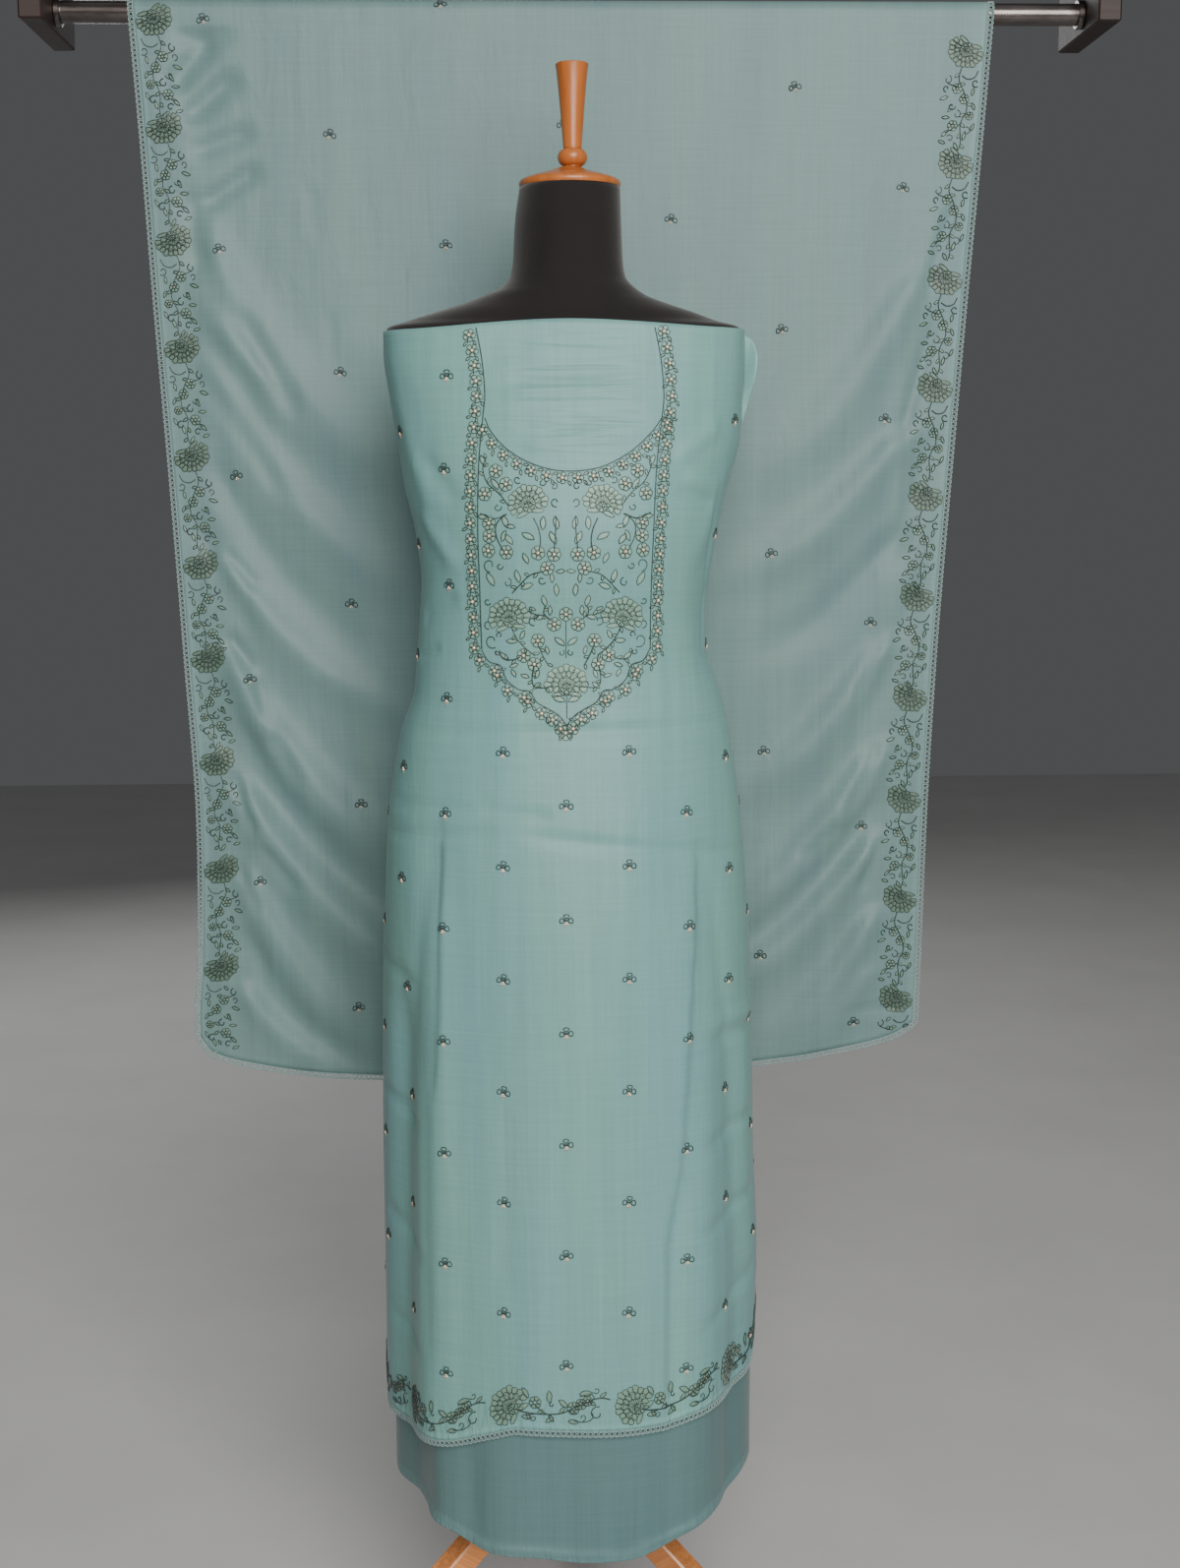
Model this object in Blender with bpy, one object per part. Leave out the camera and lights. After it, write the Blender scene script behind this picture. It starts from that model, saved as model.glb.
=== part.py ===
# Salwar kameez suit length, unstitched: the kameez cloth wrapped round a limbless dress form, the
# plain salwar cloth wrapped beneath it, and the dupatta hung over a rod behind.
# Metres, +Z up. The front faces -Y. A turn is an angle round the form: 0 at the front, positive
# towards +X, so half a turn is the back.

import math
from collections import namedtuple

import bmesh
import bpy
import numpy as np

# Where the form's axis stands, so that the whole set is centred on the origin
FORM_AXIS = (-0.0175, -0.074, 0.0)

# Cloth
CLOTH = 0.0012  # wall of every cloth and lace
GAP = 0.0003  # clearance where two pieces meet
FACETS = 48  # facets round the form and the cloths on it
FACET_TURN = 2 * math.pi / FACETS
LAP_FACETS = 3  # how far a wrapped cloth laps over itself
LAP_LIFT = 0.0019  # how much further out the lapping layer lies
LACE_WIDTH = 0.009
LACE_CORNER_REACH = 1.15  # the strip is this much wider across a corner

# Kameez
KAMEEZ_SEAM = FACETS // 2  # its free edge, counted in facets from the front: at the back
# Levels shared by the form and the cloths, so that nested walls stay parallel
LEVELS = (1.49, 1.45, 1.40, 1.35, 1.30, 1.25, 1.21, 1.17, 1.13, 1.09, 1.04, 0.98, 0.90, 0.82)
SKIRT_LEVELS = (0.72, 0.60, 0.50, 0.42)

# Salwar
SALWAR_SEAM = -13  # its free edge shows at the left side
SALWAR_TOP = 1.09
SALWAR_UNDER = 0.0036  # inner layer below the kameez's outer face, where it lies on the hips
SALWAR_UNDER_AT_HEM = 0.0085
SALWAR_LOW_LEVEL = 0.32  # one more level between the kameez's hem and its own

# Form
FORM_UNDER_KAMEEZ = CLOTH + 0.0004
FORM_UNDER_SALWAR = SALWAR_UNDER + CLOTH + 0.0005
FORM_FOOT = 0.80
NECK_TOP = 1.664
NECK_X = 0.0055
FINIAL_X = 0.0085

# Stand
STAND_X = -0.013
FOOT_RADIUS = 0.319  # from the stand's axis to the middle of each foot
LEG_RISE = 0.79  # height gained for each metre towards the axis
LEG_WIDE = 0.028
LEG_TALL = 0.037  # measured upright
LEG_TURNS = {"leg_left": -60, "leg_right": 60, "leg_back": 180}
HUB_INRADIUS = 0.034
HUB_FOOT, HUB_TOP = 0.185, 0.285
POLE_RADIUS = 0.016
EASED_EDGE = 0.002  # of the legs and the rod's end blocks

# Rod and its end blocks
ROD_RADIUS = 0.0125
ROD_FACETS = 24
ROD_Y, ROD_Z = 0.240, 1.894
ROD_LEFT, ROD_RIGHT = -0.580, 0.615  # inner faces of the blocks
BLOCK_WIDE = 0.027
BLOCK_FRONT, BLOCK_BACK = 0.170, 0.345
BLOCK_FOOT, BLOCK_TOP = 1.872, 1.962
SOCKET_RADIUS, SOCKET_LONG = 0.0165, 0.007

# Dupatta
DUPATTA_COLUMNS = 28
DUPATTA_EDGE_CROWDING = 0.25  # 0 spaces the columns evenly, more crowds them at the borders
DUPATTA_ROWS = {"front": 17, "back": 10}
ROD_ROWS = ROD_FACETS // 4  # one quarter of the rod for each stretch

# Outer face of the kameez by height: half widths to the left and right of the axis, depths in
# front and behind, and the corner exponent (2 is an ellipse, more is squarer)
Section = namedtuple("Section", "height left right front back corner")
KAMEEZ_SECTIONS = (
    Section(1.540, 0.1950, 0.1920, 0.086, 0.056, 2.6),
    Section(1.490, 0.1950, 0.1915, 0.094, 0.062, 2.6),
    Section(1.450, 0.1900, 0.1900, 0.103, 0.074, 2.5),
    Section(1.400, 0.1820, 0.1870, 0.114, 0.086, 2.4),
    Section(1.350, 0.1750, 0.1740, 0.124, 0.093, 2.3),
    Section(1.300, 0.1640, 0.1630, 0.129, 0.095, 2.25),
    Section(1.250, 0.1590, 0.1540, 0.124, 0.094, 2.2),
    Section(1.210, 0.1615, 0.1500, 0.116, 0.094, 2.2),
    Section(1.170, 0.1650, 0.1520, 0.113, 0.097, 2.2),
    Section(1.130, 0.1690, 0.1660, 0.115, 0.104, 2.2),
    Section(1.090, 0.1830, 0.1760, 0.121, 0.112, 2.15),
    Section(1.040, 0.1930, 0.1840, 0.130, 0.122, 2.1),
    Section(0.980, 0.2010, 0.1910, 0.140, 0.132, 2.1),
    Section(0.900, 0.2045, 0.1970, 0.151, 0.142, 2.05),
    Section(0.820, 0.2070, 0.2005, 0.160, 0.149, 2.0),
    Section(0.720, 0.2095, 0.2040, 0.170, 0.156, 2.0),
    Section(0.600, 0.2115, 0.2065, 0.181, 0.162, 2.0),
    Section(0.500, 0.2120, 0.2110, 0.190, 0.166, 2.0),
    Section(0.340, 0.2130, 0.2080, 0.201, 0.170, 2.0),
    Section(0.180, 0.2130, 0.2080, 0.207, 0.172, 2.0),
)

# The form's own shoulders and neck, above the levels that it shares with the kameez
SHOULDER_SECTIONS = (
    Section(1.505, 0.1930, 0.1895, 0.079, 0.058, 2.5),
    Section(1.517, 0.1910, 0.1860, 0.073, 0.057, 2.4),
    Section(1.524, 0.1720, 0.1630, 0.069, 0.060, 2.2),
    Section(1.533, 0.1430, 0.1390, 0.066, 0.063, 2.1),
    Section(1.543, 0.1100, 0.1085, 0.063, 0.064, 2.0),
    Section(1.551, 0.0890, 0.0875, 0.061, 0.064, 2.0),
    Section(1.560, 0.0690, 0.0740, 0.059, 0.063, 2.0),
    Section(1.570, 0.0600, 0.0650, 0.057, 0.061, 2.0),
    Section(1.585, 0.0560, 0.0620, 0.055, 0.058, 2.0),
    Section(1.630, 0.0530, 0.0600, 0.054, 0.054, 2.0),
    Section(NECK_TOP - GAP, 0.0480, 0.0590, 0.053, 0.053, 2.0),
)
# The form's underside: how far each level draws in, below the lowest shared level
FORM_FOOT_DRAW = ((FORM_FOOT + 0.004, 0.005), (FORM_FOOT, 0.014))

# Edge heights by turn in degrees
EdgePoint = namedtuple("EdgePoint", "turn height")
KAMEEZ_TOP_EDGE = (
    EdgePoint(-180, 1.514),
    EdgePoint(-90, 1.513),
    EdgePoint(-50, 1.513),
    EdgePoint(0, 1.521),
    EdgePoint(50, 1.514),
    EdgePoint(90, 1.514),
    EdgePoint(180, 1.514),
)
KAMEEZ_HEM = (
    EdgePoint(-180, 0.352),
    EdgePoint(-125, 0.330),
    EdgePoint(-73, 0.318),
    EdgePoint(-50, 0.3275),
    EdgePoint(-40, 0.333),
    EdgePoint(-26, 0.3505),
    EdgePoint(-17, 0.360),
    EdgePoint(26, 0.3565),
    EdgePoint(38, 0.3625),
    EdgePoint(65, 0.367),
    EdgePoint(90, 0.392),
    EdgePoint(130, 0.380),
    EdgePoint(180, 0.352),
)
SALWAR_HEM = (
    EdgePoint(-180, 0.227),
    EdgePoint(-95, 0.234),
    EdgePoint(-70, 0.234),
    EdgePoint(-45, 0.230),
    EdgePoint(-28, 0.214),
    EdgePoint(-12, 0.2125),
    EdgePoint(2, 0.208),
    EdgePoint(16, 0.2075),
    EdgePoint(35, 0.2235),
    EdgePoint(46, 0.2325),
    EdgePoint(62, 0.236),
    EdgePoint(76, 0.244),
    EdgePoint(130, 0.232),
    EdgePoint(180, 0.227),
)

# Soft folds that stand out of a wrapped cloth, or sink into it where the depth is below nought.
# Each runs from its top turn to its foot turn, in degrees, between two heights.
Fold = namedtuple("Fold", "top_turn foot_turn top foot width depth")
SKIRT_FOLDS = (
    Fold(-44, -47, 0.97, 0.10, 0.030, 0.0070),
    Fold(-62, -66, 0.76, 0.10, 0.028, -0.0050),
    Fold(37, 40, 0.97, 0.10, 0.032, 0.0070),
    Fold(58, 62, 0.76, 0.10, 0.026, -0.0050),
    Fold(4, -6, 0.76, 0.10, 0.045, -0.0035),
    Fold(98, 106, 0.95, 0.10, 0.034, 0.0045),
    Fold(132, 136, 0.76, 0.10, 0.030, -0.0060),
    Fold(158, 154, 0.90, 0.10, 0.034, 0.0070),
    Fold(-150, -156, 0.92, 0.10, 0.034, 0.0080),
    Fold(-126, -130, 0.76, 0.10, 0.030, -0.0060),
    Fold(-100, -104, 0.95, 0.10, 0.032, 0.0060),
)
BODICE_FOLDS = (
    Fold(70, 52, 1.40, 1.24, 0.022, 0.0045),
    Fold(-66, -50, 1.47, 1.26, 0.024, 0.0035),
    Fold(120, 150, 1.46, 1.18, 0.026, 0.0050),
    Fold(-120, -148, 1.46, 1.20, 0.026, 0.0050),
)
SALWAR_FOLDS = (
    Fold(-30, -34, 0.60, 0.10, 0.030, -0.0060),
    Fold(-12, -14, 0.55, 0.10, 0.030, 0.0020),
    Fold(47, 50, 0.55, 0.10, 0.030, 0.0020),
    Fold(88, 90, 0.45, 0.10, 0.050, 0.0050),
)
FOLD_FADE = 0.11  # height over which a fold rises from the cloth
FOLD_RADIUS = 0.20  # turns a difference in turn into a distance along the cloth

# Borders of the hanging dupatta by height
DupattaEdge = namedtuple("DupattaEdge", "height left right")
DUPATTA_EDGES = {
    "front": (
        DupattaEdge(1.910, -0.486, 0.499),
        DupattaEdge(1.740, -0.476, 0.487),
        DupattaEdge(1.570, -0.468, 0.474),
        DupattaEdge(1.370, -0.457, 0.460),
        DupattaEdge(1.140, -0.446, 0.445),
        DupattaEdge(0.950, -0.438, 0.437),
        DupattaEdge(0.780, -0.442, 0.433),
        DupattaEdge(0.700, -0.448, 0.431),
        DupattaEdge(0.620, -0.446, 0.428),
    ),
    "back": (
        DupattaEdge(1.910, -0.486, 0.499),
        DupattaEdge(1.570, -0.463, 0.468),
        DupattaEdge(1.140, -0.438, 0.434),
        DupattaEdge(0.780, -0.432, 0.424),
        DupattaEdge(0.690, -0.422, 0.414),
    ),
}
# Hem heights of the dupatta, from the left border (-1) to the right border (1)
HemPoint = namedtuple("HemPoint", "across height")
DUPATTA_HEM = {
    "front": (
        HemPoint(-1.00, 0.679),
        HemPoint(-0.97, 0.660),
        HemPoint(-0.86, 0.645),
        HemPoint(-0.70, 0.634),
        HemPoint(-0.40, 0.626),
        HemPoint(0.40, 0.631),
        HemPoint(0.54, 0.637),
        HemPoint(0.72, 0.648),
        HemPoint(0.83, 0.656),
        HemPoint(0.94, 0.669),
        HemPoint(1.00, 0.685),
    ),
    "back": (
        HemPoint(-1.00, 0.748),
        HemPoint(-0.97, 0.728),
        HemPoint(-0.60, 0.712),
        HemPoint(0.00, 0.704),
        HemPoint(0.60, 0.714),
        HemPoint(0.97, 0.732),
        HemPoint(1.00, 0.752),
    ),
}
# Folds that leave a border at a height and swing in towards the middle as they fall. Side is -1 at
# the left border, run is how far in each gets, and a depth below nought is a trough.
Swag = namedtuple("Swag", "side start foot run width depth")
SWAGS = {
    "front": (
        Swag(-1, 1.64, 0.80, 0.270, 0.034, 0.0100),
        Swag(-1, 1.46, 0.66, 0.235, 0.026, -0.0060),
        Swag(-1, 1.40, 0.62, 0.210, 0.026, 0.0150),
        Swag(-1, 1.22, 0.58, 0.170, 0.024, -0.0060),
        Swag(-1, 1.14, 0.56, 0.140, 0.025, 0.0150),
        Swag(-1, 0.94, 0.52, 0.085, 0.024, 0.0130),
        Swag(1, 1.56, 0.76, 0.250, 0.034, 0.0100),
        Swag(1, 1.38, 0.64, 0.225, 0.026, -0.0060),
        Swag(1, 1.30, 0.62, 0.195, 0.026, 0.0150),
        Swag(1, 1.12, 0.58, 0.160, 0.024, -0.0060),
        Swag(1, 1.05, 0.56, 0.130, 0.025, 0.0150),
        Swag(1, 0.88, 0.52, 0.080, 0.024, 0.0130),
    ),
    "back": (
        Swag(-1, 1.60, 0.78, 0.260, 0.036, 0.0100),
        Swag(-1, 1.36, 0.66, 0.200, 0.032, 0.0140),
        Swag(-1, 1.08, 0.60, 0.120, 0.030, 0.0140),
        Swag(1, 1.52, 0.76, 0.250, 0.036, 0.0100),
        Swag(1, 1.28, 0.66, 0.190, 0.032, 0.0140),
        Swag(1, 1.02, 0.60, 0.115, 0.030, 0.0140),
    ),
}

# Turned pieces: radius and height from the top down the outer side
DISC_PROFILE = (
    (0.0, 0.0205),
    (0.013, 0.0200),
    (0.022, 0.0165),
    (0.034, 0.0130),
    (0.046, 0.0095),
    (0.0525, 0.0065),
    (0.0540, 0.0045),
    (0.0540, 0.0015),
    (0.0530, 0.0),
    (0.0, 0.0),
)
FINIAL_FOOT = NECK_TOP + DISC_PROFILE[0][1] + GAP
BALL_HIGH, BALL_RADIUS = 0.0195, 0.0158
FLARE_HIGH = 0.0865
FLARE_FOOT_RADIUS, FLARE_TOP_RADIUS = 0.0098, 0.0176
FLARE_LIP = 0.0015  # chamfer round the top of the flare
FLARE_CURVE = 0.8  # 1 is a straight cone, less flares late
BALL_CURVE = 0.6  # 1 is a sphere, less is squarer
BALL_RINGS, FLARE_RINGS = 6, 4
DISC_SEGMENTS, FINIAL_SEGMENTS, POLE_SEGMENTS = 32, 20, 16

# Colours, linear
TEAL = (0.165, 0.285, 0.275)
DEEP_TEAL = (0.125, 0.235, 0.240)
SHEER_TEAL = (0.185, 0.300, 0.300)
BLACK = (0.012, 0.011, 0.011)
HONEY_WOOD = (0.520, 0.250, 0.090)
BROWN_WOOD = (0.055, 0.022, 0.014)
STEEL = (0.560, 0.540, 0.530)


def clear_scene():
    for obj in list(bpy.data.objects):
        bpy.data.objects.remove(obj, do_unlink=True)


def material(name, colour, roughness, metallic=0.0):
    made = bpy.data.materials.new(name)
    made.use_nodes = True
    shader = made.node_tree.nodes["Principled BSDF"]
    shader.inputs["Base Color"].default_value = (*colour, 1.0)
    shader.inputs["Roughness"].default_value = roughness
    shader.inputs["Metallic"].default_value = metallic
    made.diffuse_color = (*colour, 1.0)
    return made


def add_object(name, mesh, finish, parent, smooth=True):
    if smooth:
        mesh.shade_smooth()
    mesh.materials.append(finish)
    obj = bpy.data.objects.new(name, mesh)
    bpy.context.scene.collection.objects.link(obj)
    obj.parent = parent
    return obj


def mesh_from(name, bm):
    mesh = bpy.data.meshes.new(name)
    bm.to_mesh(mesh)
    bm.free()
    return mesh


# A cubic through the rows whose slopes are limited, so that it never swells past them
def eased(places, values, at):
    order = np.argsort(places)
    places, values = np.array(places, float)[order], np.array(values, float)[order]
    steps = np.diff(places)
    slopes = np.diff(values) / steps
    before, after = slopes[:-1], slopes[1:]
    same_way = before * after > 0
    tangents = np.zeros(len(places))
    tangents[1:-1][same_way] = (2 * before * after)[same_way] / (before + after)[same_way]
    tangents[0], tangents[-1] = slopes[0], slopes[-1]
    row = int(np.clip(np.searchsorted(places, at) - 1, 0, len(steps) - 1))
    s = float(np.clip((at - places[row]) / steps[row], 0, 1))
    start = values[row] * (1 + 2 * s) * (1 - s) ** 2 + tangents[row] * steps[row] * s * (1 - s) ** 2
    end = values[row + 1] * s * s * (3 - 2 * s) + tangents[row + 1] * steps[row] * s * s * (s - 1)
    return start + end


def column(rows, field):
    return [getattr(row, field) for row in rows]


def smooth_step(s):
    s = min(max(s, 0.0), 1.0)
    return s * s * (3 - 2 * s)


def edge_height(edge, turn):
    degrees = (math.degrees(turn) + 180) % 360 - 180
    return eased(column(edge, "turn"), column(edge, "height"), degrees)


# The kameez's outer section at a height, worked out from the rows
def section_at(height):
    heights = column(KAMEEZ_SECTIONS, "height")
    fields = Section._fields[1:]
    return Section(height, *(eased(heights, column(KAMEEZ_SECTIONS, f), height) for f in fields))


# A point on a section, moved out along the section's own normal
def on_section(section, turn, out=0.0):
    across, ahead = math.sin(turn), math.cos(turn)
    half = section.right if across > 0 else section.left
    deep = section.front if ahead > 0 else section.back
    power = section.corner
    swell = (abs(across) ** power + abs(ahead) ** power) ** (-1 / power)
    normal = np.array(
        (
            math.copysign(abs(across) ** (power - 1), across) / half,
            -math.copysign(abs(ahead) ** (power - 1), ahead) / deep,
        )
    )
    x, y = np.array((half * swell * across, -deep * swell * ahead)) + out * normal / np.hypot(*normal)
    return np.array((x, y, section.height))


def fold_height(folds, turn, height):
    out = 0.0
    for fold in folds:
        fall = (fold.top - height) / (fold.top - fold.foot)
        centre = math.radians(fold.top_turn + (fold.foot_turn - fold.top_turn) * fall)
        apart = ((turn - centre + math.pi) % (2 * math.pi) - math.pi) * FOLD_RADIUS
        fade = smooth_step((fold.top - height) / FOLD_FADE) * smooth_step((height - fold.foot) / FOLD_FADE)
        out += fold.depth * fade * math.exp(-((apart / fold.width) ** 2))
    return out


# Faces of a grid whose rows run down and whose columns run along rising turns, as triangles that
# all split the same way, so that two nested grids stay parallel
def skin(bm, grid, closed=False):
    verts = [[bm.verts.new(point) for point in row] for row in grid]
    columns = len(grid[0])
    for above, below in zip(verts, verts[1:]):
        for k in range(columns if closed else columns - 1):
            right = (k + 1) % columns
            bm.faces.new((above[k], below[k], below[right]))
            bm.faces.new((above[k], below[right], above[right]))
    return verts


def cloth_from_grid(name, grid, finish, parent):
    bm = bmesh.new()
    skin(bm, grid)
    obj = add_object(name, mesh_from(name, bm), finish, parent)
    wall = obj.modifiers.new("Wall", "SOLIDIFY")
    wall.thickness = CLOTH
    wall.offset = -1
    wall.use_even_offset = True
    return obj


# Rows of a cloth wrapped round the form: it starts under its own free edge and ends as that edge
def wrap_grid(seam, top_edge, levels, hem, out_at):
    columns = range(FACETS + LAP_FACETS + 1)
    turns = [(seam - LAP_FACETS + k) * FACET_TURN for k in columns]
    lifts = [LAP_LIFT * smooth_step((k - FACETS + LAP_FACETS) / LAP_FACETS) for k in columns]
    grid = []
    for row in range(len(levels) + 2):
        points = []
        for turn, lift in zip(turns, lifts):
            heights = (top_edge(turn), *levels, edge_height(hem, turn))
            out = out_at(turn, heights[row]) + lift
            points.append(on_section(section_at(heights[row]), turn, out))
        grid.append(points)
    return grid


def kameez_out(turn, height):
    return fold_height(SKIRT_FOLDS + BODICE_FOLDS, turn, height)


def salwar_out(turn, height):
    hips, hem = FORM_FOOT, SALWAR_HEM[0].height
    under = SALWAR_UNDER + (SALWAR_UNDER_AT_HEM - SALWAR_UNDER) * smooth_step((hips - height) / (hips - hem))
    return fold_height(SKIRT_FOLDS + SALWAR_FOLDS, turn, height) - under


# A lace strip that carries on from a grid's last row, a gap below it
def lace_below(grid):
    strip = [[], []]
    for above, edge in zip(grid[-2], grid[-1]):
        down = (edge - above) / np.linalg.norm(edge - above)
        strip[0].append(edge + down * GAP)
        strip[1].append(edge + down * (GAP + LACE_WIDTH))
    return strip


def build_kameez(parent, finish, lace_finish):
    top_edge = lambda turn: edge_height(KAMEEZ_TOP_EDGE, turn)
    grid = wrap_grid(KAMEEZ_SEAM, top_edge, LEVELS + SKIRT_LEVELS, KAMEEZ_HEM, kameez_out)
    cloth_from_grid("kameez_cloth", grid, finish, parent)
    cloth_from_grid("kameez_hem_lace", lace_below(grid), lace_finish, parent)


def build_salwar(parent, finish):
    levels = tuple(z for z in LEVELS if z < SALWAR_TOP) + SKIRT_LEVELS
    levels += (SALWAR_LOW_LEVEL,)
    grid = wrap_grid(SALWAR_SEAM, lambda turn: SALWAR_TOP, levels, SALWAR_HEM, salwar_out)
    cloth_from_grid("salwar_cloth", grid, finish, parent)


def build_form(parent, finish):
    turns = [k * FACET_TURN for k in range(FACETS)]
    grid = [[on_section(section, turn) for turn in turns] for section in reversed(SHOULDER_SECTIONS)]
    for height in LEVELS:
        under = FORM_UNDER_KAMEEZ if height > SALWAR_TOP else FORM_UNDER_SALWAR
        grid.append([on_section(section_at(height), turn, -under) for turn in turns])
    for height, draw in FORM_FOOT_DRAW:
        section = section_at(height)
        grid.append([on_section(section, turn, -FORM_UNDER_SALWAR - draw) for turn in turns])
    bm = bmesh.new()
    verts = skin(bm, grid, closed=True)
    bm.faces.new(reversed(verts[0]))
    bm.faces.new(verts[-1])
    bmesh.ops.recalc_face_normals(bm, faces=bm.faces)
    add_object("form_torso", mesh_from("form_torso", bm), finish, parent)


# A turned piece: its profile runs from the top down the outer side, and is swept about Z
def turned(name, profile, segments, finish, parent, place):
    bm = bmesh.new()
    verts = [bm.verts.new((radius, 0, height)) for radius, height in profile]
    for upper, lower in zip(verts, verts[1:]):
        bm.edges.new((upper, lower))
    obj = add_object(name, mesh_from(name, bm), finish, parent)
    sweep = obj.modifiers.new("Sweep", "SCREW")
    sweep.steps = sweep.render_steps = segments
    sweep.use_merge_vertices = True
    sweep.merge_threshold = 0.00001
    sweep.use_smooth_shade = True
    obj.location = place
    return obj


def finial_profile():
    top = BALL_HIGH + FLARE_HIGH
    profile = [(0.0, top), (FLARE_TOP_RADIUS - FLARE_LIP, top)]
    for ring in range(FLARE_RINGS + 1):
        fall = ring / FLARE_RINGS
        radius = FLARE_TOP_RADIUS + (FLARE_FOOT_RADIUS - FLARE_TOP_RADIUS) * fall**FLARE_CURVE
        profile.append((radius, top - FLARE_LIP - (FLARE_HIGH - FLARE_LIP) * fall))
    for ring in range(1, BALL_RINGS):
        angle = math.pi * ring / BALL_RINGS
        radius = max(BALL_RADIUS * math.sin(angle) ** BALL_CURVE, FLARE_FOOT_RADIUS)
        profile.append((radius, BALL_HIGH * (1 + math.cos(angle)) / 2))
    return [*profile, (FLARE_FOOT_RADIUS, 0.0), (0.0, 0.0)]


def rod_profile(radius, long):
    return ((0.0, long), (radius, long), (radius, 0.0), (0.0, 0.0))


def build_neck(parent, finish):
    turned("neck_disc", DISC_PROFILE, DISC_SEGMENTS, finish, parent, (NECK_X, 0, NECK_TOP))
    place = (FINIAL_X, 0, FINIAL_FOOT)
    turned("neck_finial", finial_profile(), FINIAL_SEGMENTS, finish, parent, place)


def prism(name, outline, foot, top, finish, parent):
    bm = bmesh.new()
    low = [bm.verts.new((x, y, foot)) for x, y in outline]
    high = [bm.verts.new((x, y, top)) for x, y in outline]
    bm.faces.new(reversed(low))
    bm.faces.new(high)
    for k in range(len(outline)):
        after = (k + 1) % len(outline)
        bm.faces.new((low[k], low[after], high[after], high[k]))
    return add_object(name, mesh_from(name, bm), finish, parent, smooth=False)


def bevelled(obj):
    edge = obj.modifiers.new("Eased edges", "BEVEL")
    edge.width = EASED_EDGE
    edge.segments = 1


# A leg of rectangular bar: an upright face against the hub, a level face on the floor
def build_leg(name, parent, finish):
    turn = math.radians(LEG_TURNS[name])
    outward = np.array((math.sin(turn), -math.cos(turn), 0.0))
    aside = np.array((math.cos(turn), math.sin(turn), 0.0)) * LEG_WIDE / 2
    axis_height = FOOT_RADIUS * LEG_RISE
    near = HUB_INRADIUS + GAP
    near_height = axis_height - near * LEG_RISE
    bottom_far = FOOT_RADIUS - LEG_TALL / 2 / LEG_RISE
    top_far = FOOT_RADIUS + LEG_TALL / 2 / LEG_RISE
    side = (
        (near, near_height - LEG_TALL / 2),
        (bottom_far, 0.0),
        (top_far, 0.0),
        (near, near_height + LEG_TALL / 2),
    )
    bm = bmesh.new()
    rings = []
    for sign in (-1, 1):
        ring = [outward * r + sign * aside + np.array((STAND_X, 0, z)) for r, z in side]
        rings.append([bm.verts.new(point) for point in ring])
    bm.faces.new(rings[0])
    bm.faces.new(reversed(rings[1]))
    for k in range(4):
        after = (k + 1) % 4
        bm.faces.new((rings[0][after], rings[0][k], rings[1][k], rings[1][after]))
    bmesh.ops.recalc_face_normals(bm, faces=bm.faces)
    bevelled(add_object(name, mesh_from(name, bm), finish, parent, smooth=False))


def build_stand(parent, finish):
    corner = HUB_INRADIUS / math.cos(math.pi / 6)
    turns = [math.radians(30 + 60 * k) for k in range(6)]
    outline = [(STAND_X + corner * math.sin(t), -corner * math.cos(t)) for t in turns]
    prism("stand_hub", outline, HUB_FOOT, HUB_TOP, finish, parent)
    pole_long = FORM_FOOT - HUB_TOP - 2 * GAP
    place = (STAND_X, 0, HUB_TOP + GAP)
    turned("form_pole", rod_profile(POLE_RADIUS, pole_long), POLE_SEGMENTS, finish, parent, place)
    for name in LEG_TURNS:
        build_leg(name, parent, finish)


# How far the hanging dupatta stands out of its plane
def swag_out(swags, x, height, left, right):
    out = 0.0
    for swag in swags:
        if height > swag.start:
            continue
        rise = (height - swag.foot) / (swag.start - swag.foot)
        border = left if swag.side < 0 else right
        ridge = border - swag.side * swag.run * (1 - max(rise, 0.0) ** 2)
        fade = smooth_step((swag.start - height) / FOLD_FADE)
        out += swag.depth * fade * math.exp(-(((x - ridge) / swag.width) ** 2))
    return out


# One stretch of the dupatta, from the top of the rod down. Facing is -1 in front, 1 behind.
def dupatta_grid(stretch, facing):
    edges, hem = DUPATTA_EDGES[stretch], DUPATTA_HEM[stretch]
    steps = np.linspace(-1, 1, DUPATTA_COLUMNS + 1)
    across = steps * (1 + DUPATTA_EDGE_CROWDING - DUPATTA_EDGE_CROWDING * steps**2)
    outer = ROD_RADIUS + GAP + CLOTH
    # the wall's rim leans by half a facet, so the two stretches need that much more at the top
    ridge_clearance = GAP / 2 + CLOTH * math.sin(math.pi / 4 / ROD_ROWS)
    rows = DUPATTA_ROWS[stretch]

    def border(side, height):
        return eased(column(edges, "height"), column(edges, side), height)

    grid = []
    for row in range(ROD_ROWS + rows + 1):
        points = []
        for u in across:
            if row <= ROD_ROWS:
                angle = math.pi / 2 * row / ROD_ROWS
                height = ROD_Z + outer * math.cos(angle)
                away = max(outer * math.sin(angle), ridge_clearance)
            else:
                low = eased(column(hem, "across"), column(hem, "height"), u)
                height = ROD_Z - (ROD_Z - low) * (row - ROD_ROWS) / rows
                away = outer
            left, right = border("left", height), border("right", height)
            x = left + (right - left) * (u + 1) / 2
            if row > ROD_ROWS:
                away += swag_out(SWAGS[stretch], x, height, left, right)
            points.append(np.array((x, ROD_Y + facing * away, height)))
        grid.append(points if facing < 0 else points[::-1])
    return grid


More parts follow.
